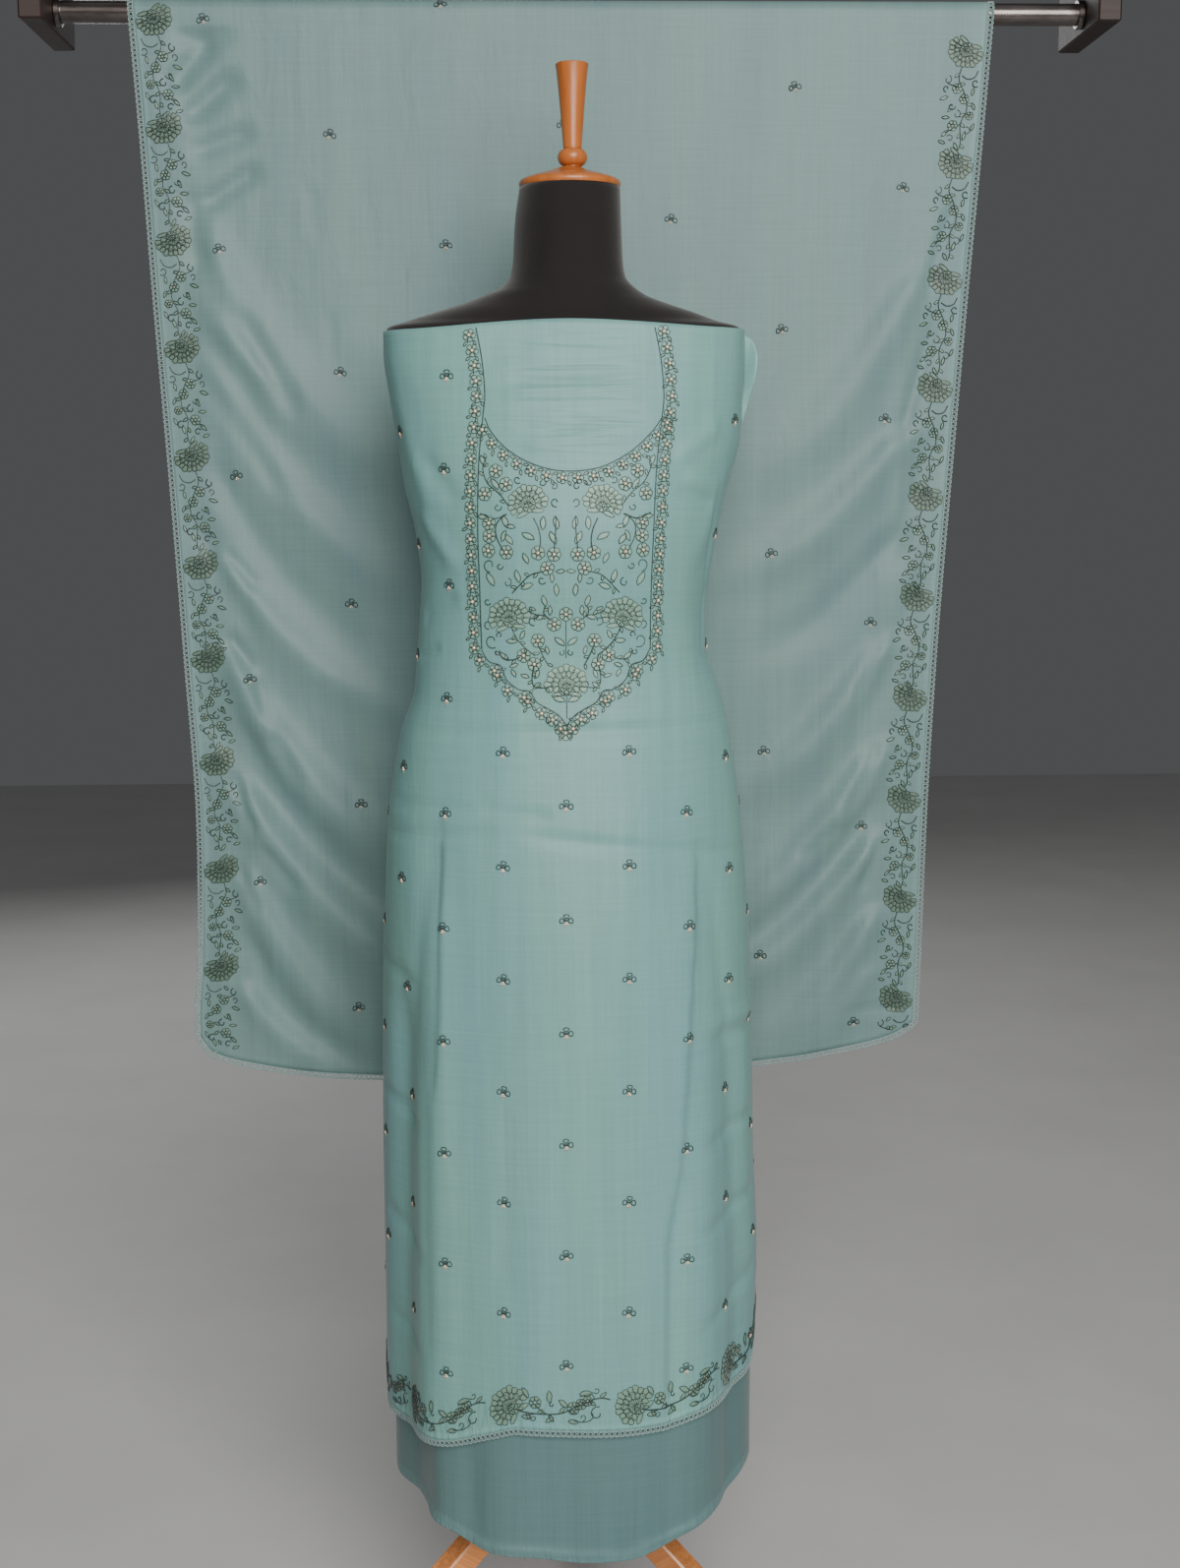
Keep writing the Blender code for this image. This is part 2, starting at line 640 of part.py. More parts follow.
# Lace along both borders and the hem of a hanging stretch, as one strip round three sides
def lace_round(grid):
    centre = np.mean(grid[len(grid) // 2], axis=0)
    first = [row[0] for row in grid]
    last = [row[-1] for row in grid]
    edge = first + list(grid[-1][1:-1]) + last[::-1]
    corner_a, corner_b = len(first) - 1, len(edge) - len(last)
    strip = [[], []]
    for k, point in enumerate(edge):
        before, after = edge[max(k - 1, 0)], edge[min(k + 1, len(edge) - 1)]
        along = (after - before) / np.linalg.norm(after - before)
        outward = np.array((-along[2], 0.0, along[0]))
        if np.dot(outward, point - centre) < 0:
            outward = -outward
        if k < ROD_ROWS or k > len(edge) - 1 - ROD_ROWS:
            outward = np.array((math.copysign(1.0, point[0] - centre[0]), 0.0, 0.0))
        outward /= np.linalg.norm(outward)
        reach = LACE_WIDTH * (LACE_CORNER_REACH if k in (corner_a, corner_b) else 1.0)
        strip[0].append(point + outward * GAP)
        strip[1].append(point + outward * (GAP + reach))
    return strip


def build_dupatta(parent, finish, lace_finish):
    for stretch, facing in (("front", -1), ("back", 1)):
        grid = dupatta_grid(stretch, facing)
        cloth_from_grid("dupatta_" + stretch, grid, finish, parent)
        cloth_from_grid("dupatta_" + stretch + "_lace", lace_round(grid), lace_finish, parent)


def build_rod(parent, steel, wood):
    lying = (0, math.pi / 2, 0)
    long = ROD_RIGHT - ROD_LEFT - 2 * GAP
    place = (ROD_LEFT + GAP, ROD_Y, ROD_Z)
    rod = turned("rail_rod", rod_profile(ROD_RADIUS, long), ROD_FACETS, steel, parent, place)
    rod.rotation_euler = lying
    inner, outer = ROD_RADIUS + GAP, SOCKET_RADIUS
    ring = ((inner, SOCKET_LONG), (outer, SOCKET_LONG), (outer, 0.0), (inner, 0.0), (inner, SOCKET_LONG))
    for side, face in (("left", ROD_LEFT + GAP), ("right", ROD_RIGHT - GAP - SOCKET_LONG)):
        socket = turned("rail_socket_" + side, ring, ROD_FACETS, steel, parent, (face, ROD_Y, ROD_Z))
        socket.rotation_euler = lying
    for side, near, far in (
        ("left", ROD_LEFT, ROD_LEFT - BLOCK_WIDE),
        ("right", ROD_RIGHT, ROD_RIGHT + BLOCK_WIDE),
    ):
        low, high = sorted((near, far))
        outline = ((low, BLOCK_FRONT), (high, BLOCK_FRONT), (high, BLOCK_BACK), (low, BLOCK_BACK))
        block = prism("rail_block_" + side, outline, BLOCK_FOOT, BLOCK_TOP, wood, parent)
        bevelled(block)


def main():
    clear_scene()
    display = bpy.data.objects.new("suit_display", None)
    display.location = FORM_AXIS
    bpy.context.scene.collection.objects.link(display)
    teal = material("kameez_teal", TEAL, 0.55)
    lace = material("lace_teal", TEAL, 0.75)
    wood = material("honey_wood", HONEY_WOOD, 0.35)
    build_form(display, material("black_jersey", BLACK, 0.90))
    build_neck(display, wood)
    build_stand(display, wood)
    build_salwar(display, material("salwar_teal", DEEP_TEAL, 0.60))
    build_kameez(display, teal, lace)
    build_dupatta(display, material("dupatta_teal", SHEER_TEAL, 0.60), lace)
    build_rod(display, material("steel", STEEL, 0.25, 1.0), material("brown_wood", BROWN_WOOD, 0.45))


main()
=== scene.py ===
import math
from functools import partial

import bmesh
import bpy
import numpy as np
from mathutils import Matrix, Vector


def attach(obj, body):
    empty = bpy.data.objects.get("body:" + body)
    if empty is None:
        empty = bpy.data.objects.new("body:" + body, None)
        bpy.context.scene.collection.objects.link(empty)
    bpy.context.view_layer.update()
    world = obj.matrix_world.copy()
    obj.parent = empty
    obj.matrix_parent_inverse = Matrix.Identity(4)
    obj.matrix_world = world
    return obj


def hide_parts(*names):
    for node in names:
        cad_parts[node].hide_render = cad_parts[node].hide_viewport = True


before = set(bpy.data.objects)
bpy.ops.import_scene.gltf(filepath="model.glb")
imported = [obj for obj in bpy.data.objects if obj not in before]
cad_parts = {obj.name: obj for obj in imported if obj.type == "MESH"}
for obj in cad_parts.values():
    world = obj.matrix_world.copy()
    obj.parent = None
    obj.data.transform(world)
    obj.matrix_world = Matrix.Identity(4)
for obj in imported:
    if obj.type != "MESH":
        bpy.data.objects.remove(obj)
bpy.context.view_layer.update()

# Metres. The front faces -Y. A turn is an angle round the form in radians: 0 in front, rising towards +X.
# Across is the distance along the cloth from its front middle, at one height.
formAxis = np.array((-0.0175, -0.074, 0.0))


def smoothStep(s):
    s = np.clip(s, 0.0, 1.0)
    return s * s * (3 - 2 * s)


def easedCurve(places, values, at):  # a cubic through the rows whose limited slopes keep it from swelling
    order = np.argsort(places)
    places, values = np.asarray(places, float)[order], np.asarray(values, float)[order]
    steps = np.diff(places)
    slopes = np.diff(values) / steps
    before, after = slopes[:-1], slopes[1:]
    sameWay = before * after > 0
    tangents = np.zeros(len(places))
    tangents[1:-1][sameWay] = (2 * before * after)[sameWay] / (before + after)[sameWay]
    tangents[0], tangents[-1] = slopes[0], slopes[-1]
    at = np.asarray(at, float)
    row = np.clip(np.searchsorted(places, at) - 1, 0, len(steps) - 1)
    s = np.clip((at - places[row]) / steps[row], 0, 1)
    start = values[row] * (1 + 2 * s) * (1 - s) ** 2 + tangents[row] * steps[row] * s * (1 - s) ** 2
    end = values[row + 1] * s * s * (3 - 2 * s) + tangents[row + 1] * steps[row] * s * s * (s - 1)
    return start + end


def curveThrough(rows, at):  # the same, with the places and values in pairs
    return easedCurve(*zip(*rows), at)


def stacked(*parts):  # coordinates as points
    return np.stack(np.broadcast_arrays(*parts), axis=-1)


def runOf(steps):  # how far along a path each of its points lies
    return np.concatenate([[0], np.cumsum(steps)])


def linkObject(name, data):
    thing = bpy.data.objects.new(name, data)
    bpy.context.scene.collection.objects.link(thing)
    return thing


def linkMesh(name, mesh, finish):
    mesh.materials.append(finish)
    return linkObject(name, mesh)


def meshOf(name, bm):  # a finished bmesh as a mesh
    mesh = bpy.data.meshes.new(name)
    bm.to_mesh(mesh)
    bm.free()
    return mesh


def hiddenUnit(name, bm):  # what gets repeated on points; it is removed once its piece is made
    unit = linkObject(name, meshOf(name, bm))
    unit.hide_render = True
    return unit


def meshFrom(name, points, faces, smooth=True, edges=()):
    mesh = bpy.data.meshes.new(name)
    mesh.from_pydata([tuple(map(float, p)) for p in points], edges, faces)
    if smooth:
        mesh.shade_smooth()
    return mesh


def gridFaces(rows, columns, loop=False, first=0):
    faces = []
    for i in range(rows - 1):
        for k in range(columns if loop else columns - 1):
            a, b = first + i * columns + k, first + i * columns + (k + 1) % columns
            faces.append((a, a + columns, b + columns, b))
    return faces


def setUv(mesh, uv):  # uv holds a pair in metres for each vertex
    layer = mesh.uv_layers.new(name="cloth")
    corner = np.empty(len(mesh.loops), np.int32)
    mesh.loops.foreach_get("vertex_index", corner)
    layer.data.foreach_set("uv", np.asarray(uv, np.float32)[corner].ravel())


def setField(mesh, name, values):
    mesh.attributes.new(name, "FLOAT", "POINT").data.foreach_set("value", np.asarray(values, np.float32).ravel())


def bakeModifiers(piece):  # the evaluated mesh takes the place of the piece's own
    graph = bpy.context.evaluated_depsgraph_get()
    made = bpy.data.meshes.new_from_object(piece.evaluated_get(graph), depsgraph=graph)
    piece.modifiers.clear()
    piece.data = made
    return piece


def clothPiece(name, points, uv, finish, wall, fields=None, flip=False):
    rows, columns = points.shape[:2]
    faces = gridFaces(rows, columns)
    if flip:
        faces = [face[::-1] for face in faces]
    mesh = meshFrom(name, points.reshape(-1, 3), faces)
    setUv(mesh, uv.reshape(-1, 2))
    for field, values in (fields or {}).items():
        setField(mesh, field, values)
    piece = linkMesh(name, mesh, finish)
    if wall:
        shell = piece.modifiers.new("Wall", "SOLIDIFY")
        shell.thickness = wall
        shell.offset = -1
        bakeModifiers(piece)
    return piece


class Shade:  # a short way to write a node tree
    def __init__(self, name):
        self.material = bpy.data.materials.new(name)
        self.material.use_nodes = True
        self.tree = self.material.node_tree
        self.shader = self.tree.nodes["Principled BSDF"]

    def add(self, kind, **settings):
        node = self.tree.nodes.new(kind)
        for key, value in settings.items():
            setattr(node, key, value)
        return node

    def link(self, source, target):
        self.tree.links.new(source, target)

    def put(self, **sockets):
        for key, value in sockets.items():
            self.shader.inputs[key.replace("_", " ")].default_value = value

    def mapped(self, vector, stretch=(1, 1, 1), turn=(0, 0, 0)):
        mapping = self.add("ShaderNodeMapping")
        mapping.inputs["Scale"].default_value = stretch
        mapping.inputs["Rotation"].default_value = turn
        self.link(vector, mapping.inputs["Vector"])
        return mapping.outputs["Vector"]

    def onObject(self, stretch=(1, 1, 1), turn=(0, 0, 0)):
        return self.mapped(self.add("ShaderNodeTexCoord").outputs["Object"], stretch, turn)

    def onCloth(self, stretch, turn=(0, 0, 0)):
        return self.mapped(self.add("ShaderNodeUVMap", uv_map="cloth").outputs["UV"], stretch, turn)

    def noise(self, vector, scale=1.0, detail=2.0, roughness=0.5, distortion=0.0):
        node = self.add("ShaderNodeTexNoise")
        settings = {"Scale": scale, "Detail": detail, "Roughness": roughness, "Distortion": distortion}
        for key, value in settings.items():
            node.inputs[key].default_value = value
        self.link(vector, node.inputs["Vector"])
        return node.outputs["Fac"]

    def field(self, name):
        return self.add("ShaderNodeAttribute", attribute_name=name).outputs["Fac"]

    def maths(self, kind, a, b=0.0):
        node = self.add("ShaderNodeMath", operation=kind)
        for socket, value in zip(node.inputs, (a, b)):
            if isinstance(value, (int, float)):
                socket.default_value = value
            else:
                self.link(value, socket)
        return node.outputs[0]

    def mean(self, a, b, share=0.5):  # the share is of the first
        return self.maths("ADD", self.maths("MULTIPLY", a, share), self.maths("MULTIPLY", b, 1 - share))

    def ramp(self, factor, stops):
        node = self.add("ShaderNodeValToRGB")
        while len(node.color_ramp.elements) < len(stops):
            node.color_ramp.elements.new(0.5)
        for element, (place, colour) in zip(node.color_ramp.elements, stops):
            element.position = place
            element.color = (*colour, 1.0)
        self.link(factor, node.inputs["Fac"])
        return node.outputs["Color"]

    def mix(self, factor, a, b, blend="MIX"):
        node = self.add("ShaderNodeMix", data_type="RGBA", blend_type=blend)
        for index, value in ((0, factor), (6, a), (7, b)):
            socket = node.inputs[index]
            if isinstance(value, (int, float)):
                socket.default_value = value
            elif isinstance(value, tuple):
                socket.default_value = (*value, 1.0)
            else:
                self.link(value, socket)
        return node.outputs[2]

    def colour(self, socket):
        self.link(socket, self.shader.inputs["Base Color"])

    def multiplied(self, base, by):
        return self.mix(1.0, base, by, "MULTIPLY")

    def rough(self, factor, low, high):
        node = self.add("ShaderNodeMapRange")
        node.inputs["To Min"].default_value = low
        node.inputs["To Max"].default_value = high
        self.link(factor, node.inputs["Value"])
        self.link(node.outputs["Result"], self.shader.inputs["Roughness"])

    def bump(self, *layers):  # each layer is a height and how far it stands out, in metres
        normal = None
        for height, distance in layers:
            node = self.add("ShaderNodeBump")
            node.inputs["Distance"].default_value = distance
            self.link(height, node.inputs["Height"])
            if normal:
                self.link(normal, node.inputs["Normal"])
            normal = node.outputs["Normal"]
        self.link(normal, self.shader.inputs["Normal"])


wovenTeal = {
    "kameez": {"colours": ((0.156, 0.325, 0.327), (0.172, 0.348, 0.315)), "roughness": (0.38, 0.52), "sheen": 0.06},
    "salwar": {"colours": ((0.093, 0.173, 0.181), (0.102, 0.186, 0.184)), "roughness": (0.42, 0.56), "sheen": 0.1},
    "dupatta": {"colours": ((0.13, 0.218, 0.224), (0.146, 0.24, 0.228)), "roughness": (0.4, 0.54), "sheen": 0.1},
    "slubTone": 0.05,  # how much darker and lighter the slubs are
    "streakTone": (0.955, 1.035),
    "hemTone": 1.16,  # how much lighter a turned-up hem looks
    "relief": (0.001, 0.003, 0.0042, 0.00008, 0.00007),  # of the crinkle, puckers, wrinkles, weft and warp
}


# Patterns of the cloth: how often they repeat across and up it, to the metre, turn, detail, roughness, distortion
wovenPatterns = {
    "weft": (11, 330, 0, 2, 0.5, 0),
    "warp": (330, 6.6, 0, 2, 0.5, 0),
    "clouds": (10, 1.8, 0, 3, 0.5, 0.6),
    "streaks": (46, 1.4, 0, 3, 0.6, 0),
    "crinkle": (30, 11, 0, 4, 0.5, 0.8),
    "pucker": (150, 40, 0, 2, 0.5, 0.5),
    "wrinkle": (5, 62, 0.02, 3, 0.45, 0.7),
}


def wovenCloth(name, key):
    facts = wovenTeal[key]
    shade = Shade(name)
    weft, warp, clouds, streaks, crinkle, pucker, wrinkle = (
        shade.noise(shade.onCloth((across, up, 1), (0, 0, turn)), 1.0, *settings)
        for across, up, turn, *settings in wovenPatterns.values()
    )
    tone = shade.mean(weft, warp)
    low, high = 1 - wovenTeal["slubTone"], 1 + wovenTeal["slubTone"]
    threads = shade.ramp(tone, ((0.36, (low,) * 3), (0.64, (high,) * 3)))
    bands = shade.ramp(streaks, [(place, (tone,) * 3) for place, tone in zip((0.35, 0.65), wovenTeal["streakTone"])])
    ground = shade.ramp(clouds, ((0.34, facts["colours"][0]), (0.62, facts["colours"][1])))
    colour = shade.multiplied(shade.multiplied(ground, bands), threads)
    shade.colour(shade.mix(shade.field("hem"), colour, shade.multiplied(colour, (wovenTeal["hemTone"],) * 3)))
    shade.rough(streaks, *facts["roughness"])
    shade.put(Sheen_Weight=facts["sheen"], Sheen_Roughness=0.4, Specular_IOR_Level=0.3)
    puckered = shade.maths("MULTIPLY", pucker, shade.field("pucker"))
    wrinkled = shade.maths("MULTIPLY", wrinkle, shade.field("wrinkle"))
    shade.bump(*zip((crinkle, puckered, wrinkled, weft, warp), wovenTeal["relief"]))
    return shade.material


def jerseyCloth(name):
    shade = Shade(name)
    knit = shade.noise(shade.onObject((900, 900, 520)))
    lint = shade.noise(shade.onObject((26, 26, 14)), detail=5, roughness=0.6)
    shade.colour(shade.ramp(lint, ((0.3, (0.0054, 0.004, 0.004)), (0.72, (0.0108, 0.0078, 0.0076)))))
    shade.rough(lint, 0.78, 0.92)
    shade.put(Sheen_Weight=0.22, Sheen_Roughness=0.5, Specular_IOR_Level=0.3)
    shade.bump((lint, 0.0006), (knit, 0.00025))
    return shade.material


# The grain runs along Z, once the piece's coordinates are turned by along
def varnishedWood(name, light, dark, along=(0, 0, 0), coat=0.45, roughness=(0.26, 0.42)):
    shade = Shade(name)
    vector = shade.onObject(turn=along)
    fine = shade.noise(shade.mapped(vector, (150, 150, 9)), detail=4, roughness=0.6, distortion=0.4)
    broad = shade.noise(shade.mapped(vector, (28, 28, 3)), detail=3, distortion=1.5)
    tone = shade.mean(fine, broad, 0.45)
    between = tuple((a + b) / 2 for a, b in zip(light, dark))
    shade.colour(shade.ramp(tone, ((0.34, dark), (0.5, between), (0.66, light))))
    shade.rough(fine, *roughness)
    shade.put(Coat_Weight=coat, Coat_Roughness=0.2)
    shade.bump((fine, 0.00025))
    return shade.material


def brushedSteel(name):
    shade = Shade(name)
    drawn = shade.noise(shade.onObject((14, 1400, 1400)), detail=3)
    smear = shade.noise(shade.onObject((22, 60, 60)), detail=4, roughness=0.6)
    shade.colour(shade.ramp(smear, ((0.35, (0.08, 0.066, 0.061)), (0.65, (0.145, 0.124, 0.117)))))
    shade.rough(drawn, 0.2, 0.38)
    shade.put(Metallic=1.0, Coat_Weight=0.6, Coat_Roughness=0.16)
    shade.bump((drawn, 0.00008))
    return shade.material


# Needlework: the twist's grain, colours by the stitches' tint, and how dark and light a twist gets
stitchFacts = {
    "thread": {
        "grain": (900, 900, 900),
        "tints": ((0.0, (0.01, 0.032, 0.027)), (0.25, (0.036, 0.072, 0.052)), (0.5, (0.085, 0.13, 0.08)),
                  (0.8, (0.2, 0.29, 0.215)), (1.0, (0.5, 0.34, 0.26))),
        "dark": (0.7, 0.7, 0.7),
        "light": (1.4, 1.4, 1.35),
        "roughness": (0.32, 0.5),
    },
    "satin": {
        "grain": (520, 520, 1500),
        "tints": ((0.0, (0.03, 0.07, 0.055)), (0.25, (0.07, 0.115, 0.08)), (0.5, (0.105, 0.18, 0.13)),
                  (0.75, (0.165, 0.285, 0.215)), (1.0, (0.245, 0.4, 0.325))),
        "dark": (0.75, 0.75, 0.75),
        "light": (1.3, 1.3, 1.3),
        "roughness": (0.35, 0.5),
    },
}


def needleFinish(name, key):  # tint 0 is the dark outline, 1 the palest stitch
    facts, shade = stitchFacts[key], Shade(name)
    twist = shade.noise(shade.onObject(facts["grain"]))
    base = shade.ramp(shade.field("tint"), facts["tints"])
    shade.colour(shade.mix(twist, shade.multiplied(base, facts["dark"]), shade.multiplied(base, facts["light"])))
    shade.rough(twist, *facts["roughness"])
    shade.put(Sheen_Weight=0.2, Specular_IOR_Level=0.5)
    shade.bump((twist, 0.0002))
    return shade.material


# Two colours by one fine grain, with the rest of the shader's settings by name
def speckledFinish(name, grain, stops, roughness, relief, **settings):
    shade = Shade(name)
    fleck = shade.noise(shade.onObject((grain,) * 3))
    shade.colour(shade.ramp(fleck, stops))
    shade.rough(fleck, *roughness)
    shade.put(**settings)
    shade.bump((fleck, relief))
    return shade.material


def paleFloor(name):
    shade = Shade(name)
    speck = shade.noise(shade.onObject((3, 3, 3)), detail=6, roughness=0.6)
    shade.colour(shade.ramp(speck, ((0.3, (0.515, 0.511, 0.504)), (0.7, (0.561, 0.557, 0.55)))))
    shade.put(Roughness=0.75)
    return shade.material


finishes = {
    "kameez": wovenCloth("kameezCloth", "kameez"),
    "salwar": wovenCloth("salwarCloth", "salwar"),
    "dupatta": wovenCloth("dupattaCloth", "dupatta"),
    "jersey": jerseyCloth("blackJersey"),
    "turnedWood": varnishedWood("turnedHoneyWood", (0.55, 0.172, 0.038), (0.38, 0.104, 0.022), coat=0.12),
    "steel": brushedSteel("brushedSteel"),
    "thread": needleFinish("embroideryThread", "thread"),
    "satin": needleFinish("satinStitch", "satin"),
    "bead": speckledFinish("roseGoldBead", 420, ((0.35, (0.84, 0.53, 0.37)), (0.65, (1.0, 0.8, 0.62))),
                           (0.18, 0.34), 0.0002, Metallic=0.25, Specular_IOR_Level=0.8),
    "lace": speckledFinish("crochetThread", 700, ((0.3, (0.17, 0.27, 0.255)), (0.7, (0.3, 0.43, 0.41))),
                           (0.6, 0.8), 0.0003, Sheen_Weight=0.25, Specular_IOR_Level=0.3),
}

bodyRows = {  # outer face of the kameez: height, half widths left and right, depths in front and behind, corner
    "height": (
        1.54, 1.49, 1.45, 1.4, 1.35, 1.3, 1.25, 1.21, 1.17, 1.13, 1.09, 1.04, 0.98, 0.9, 0.82, 0.72, 0.6, 0.5, 0.34,
        0.18,
    ),
    "left": (
        0.195, 0.195, 0.19, 0.182, 0.175, 0.164, 0.159, 0.1615, 0.165, 0.169, 0.183, 0.193, 0.201, 0.2045, 0.207,
        0.2095, 0.2115, 0.212, 0.213, 0.213,
    ),
    "right": (
        0.192, 0.1915, 0.19, 0.187, 0.174, 0.163, 0.154, 0.15, 0.152, 0.166, 0.176, 0.184, 0.191, 0.197, 0.2005,
        0.204, 0.2065, 0.211, 0.208, 0.208,
    ),
    "front": (
        0.086, 0.094, 0.103, 0.114, 0.124, 0.129, 0.124, 0.116, 0.113, 0.115, 0.121, 0.13, 0.14, 0.151, 0.16, 0.17,
        0.181, 0.19, 0.201, 0.207,
    ),
    "back": (
        0.056, 0.062, 0.074, 0.086, 0.093, 0.095, 0.094, 0.094, 0.097, 0.104, 0.112, 0.122, 0.132, 0.142, 0.149,
        0.156, 0.162, 0.166, 0.17, 0.172,
    ),
    "corner": (2.6, 2.6, 2.5, 2.4, 2.3, 2.25, 2.2, 2.2, 2.2, 2.2, 2.15, 2.1, 2.1, 2.05, 2.0, 2.0, 2.0, 2.0, 2.0, 2.0),
}
shoulderRows = {  # the form's own shoulders and neck, from the top down
    "height": (1.6637, 1.63, 1.585, 1.57, 1.56, 1.551, 1.543, 1.533, 1.524, 1.517, 1.505),
    "left": (0.048, 0.053, 0.056, 0.06, 0.069, 0.089, 0.11, 0.143, 0.172, 0.191, 0.193),
    "right": (0.059, 0.06, 0.062, 0.065, 0.074, 0.0875, 0.1085, 0.139, 0.163, 0.186, 0.1895),
    "front": (0.053, 0.054, 0.055, 0.057, 0.059, 0.061, 0.063, 0.066, 0.069, 0.073, 0.079),
    "back": (0.053, 0.054, 0.058, 0.061, 0.063, 0.064, 0.064, 0.063, 0.06, 0.057, 0.058),
    "corner": (2.0, 2.0, 2.0, 2.0, 2.0, 2.0, 2.0, 2.1, 2.2, 2.4, 2.5),
}


def sectionPoint(turn, left, right, front, back, corner, height, out):
    across, ahead = np.sin(turn), np.cos(turn)
    half, deep = np.where(across > 0, right, left), np.where(ahead > 0, front, back)
    swell = (np.abs(across) ** corner + np.abs(ahead) ** corner) ** (-1 / corner)
    normalX = np.sign(across) * np.abs(across) ** (corner - 1) / half
    normalY = -np.sign(ahead) * np.abs(ahead) ** (corner - 1) / deep
    size = np.hypot(normalX, normalY)
    x = half * swell * across + out * normalX / size
    y = -deep * swell * ahead + out * normalY / size
    return stacked(x, y, height) + formAxis


sectionFields = ("left", "right", "front", "back", "corner")


def bodyPoint(turn, height, out=0.0):
    fields = [easedCurve(bodyRows["height"], bodyRows[field], height) for field in sectionFields]
    return sectionPoint(turn, *fields, height, out)


acrossFacts = {
    "foot": 0.18,
    "top": 1.54,
    "step": 0.01,
    "turns": 1761,
    "reach": 2.2 * math.pi,  # each way from the front, so the laps are in the table too
    "radius": 0.19,  # a first guess at a turn
    "tries": 8,
}


class AcrossTable:  # turns distances along the kameez into turns, and back
    def __init__(self):
        facts = acrossFacts
        rows = 1 + round((facts["top"] - facts["foot"]) / facts["step"])
        self.heights = np.linspace(facts["foot"], facts["top"], rows)
        self.turns = np.linspace(-facts["reach"], facts["reach"], facts["turns"])
        points = bodyPoint(self.turns[None, :], self.heights[:, None])
        lengths = np.linalg.norm(np.diff(points, axis=1), axis=2)
        self.across = np.concatenate([np.zeros((len(self.heights), 1)), np.cumsum(lengths, axis=1)], axis=1)
        self.across -= self.across[:, [len(self.turns) // 2]]

    def rowAt(self, height):
        place = (np.asarray(height, float) - acrossFacts["foot"]) / acrossFacts["step"]
        place = np.clip(place, 0, len(self.heights) - 1.001)
        return place.astype(int), place - place.astype(int)

    def acrossAt(self, turn, height):
        turn, height = np.broadcast_arrays(np.asarray(turn, float), np.asarray(height, float))
        row, part = self.rowAt(height)
        place = (turn - self.turns[0]) / (self.turns[1] - self.turns[0])
        k = np.clip(place.astype(int), 0, len(self.turns) - 2)
        s = place - k
        low = self.across[row, k] * (1 - s) + self.across[row, k + 1] * s
        high = self.across[row + 1, k] * (1 - s) + self.across[row + 1, k + 1] * s
        return low * (1 - part) + high * part

    def turnAt(self, across, height):
        across, height = np.broadcast_arrays(np.asarray(across, float), np.asarray(height, float))
        turn = across / acrossFacts["radius"]
        for _ in range(acrossFacts["tries"]):
            wrong = self.acrossAt(turn, height) - across
            slope = (self.acrossAt(turn + 0.02, height) - self.acrossAt(turn - 0.02, height)) / 0.04
            turn = turn - wrong / np.maximum(slope, 0.03)
        return turn


clothAcross = AcrossTable()

# Folds: top turn, foot turn in degrees, top and foot heights, width, depth
skirtFolds = (
    (-44, -46, 0.97, 0.1, 0.03, 0.0085), (-63, -68, 0.86, 0.1, 0.034, -0.012), (37, 40, 0.97, 0.1, 0.032, 0.007),
    (58, 62, 0.82, 0.1, 0.026, -0.0065), (4, -6, 0.76, 0.1, 0.045, -0.0035), (98, 106, 0.95, 0.1, 0.034, 0.0045),
    (132, 136, 0.76, 0.1, 0.03, -0.006), (158, 154, 0.9, 0.1, 0.034, 0.007), (-150, -156, 0.92, 0.1, 0.034, 0.008),
    (-126, -130, 0.76, 0.1, 0.03, -0.006), (-100, -104, 0.95, 0.1, 0.032, 0.006),
)
bodiceFolds = (
    (70, 52, 1.4, 1.24, 0.022, 0.0045), (-66, -50, 1.47, 1.26, 0.024, 0.0035), (120, 150, 1.46, 1.18, 0.026, 0.005),
    (-120, -148, 1.46, 1.2, 0.026, 0.005),
)
salwarFolds = (
    (-52, -56, 0.6, 0.1, 0.03, -0.005), (-22, -25, 0.55, 0.1, 0.028, 0.0045), (47, 50, 0.55, 0.1, 0.03, 0.002),
    (88, 90, 0.45, 0.1, 0.05, 0.005),
)
foldFade, foldRadius = 0.11, 0.2


def foldRelief(folds, turn, height):
    out = 0.0
    for topTurn, footTurn, top, foot, width, depth in folds:
        centre = np.radians(topTurn + (footTurn - topTurn) * (top - height) / (top - foot))
        apart = ((turn - centre + math.pi) % (2 * math.pi) - math.pi) * foldRadius
        fade = smoothStep((top - height) / foldFade) * smoothStep((height - foot) / foldFade)
        out = out + depth * fade * np.exp(-((apart / width) ** 2))
    return out


# Creases: from (across, height) to (across, height), half width and depth, below nought for a trough
def creaseRelief(creases, across, height):
    out = np.zeros(np.broadcast(across, height).shape)
    for a0, z0, a1, z1, width, depth in creases:
        along = np.array((a1 - a0, z1 - z0))
        length = np.hypot(*along)
        s = ((across - a0) * along[0] + (height - z0) * along[1]) / length**2
        aside = ((across - a0) * along[1] - (height - z0) * along[0]) / length
        fade = smoothStep(s / 0.25) * smoothStep((1 - s) / 0.25)
        out = out + depth * fade * np.exp(-((aside / width) ** 2))
    return out


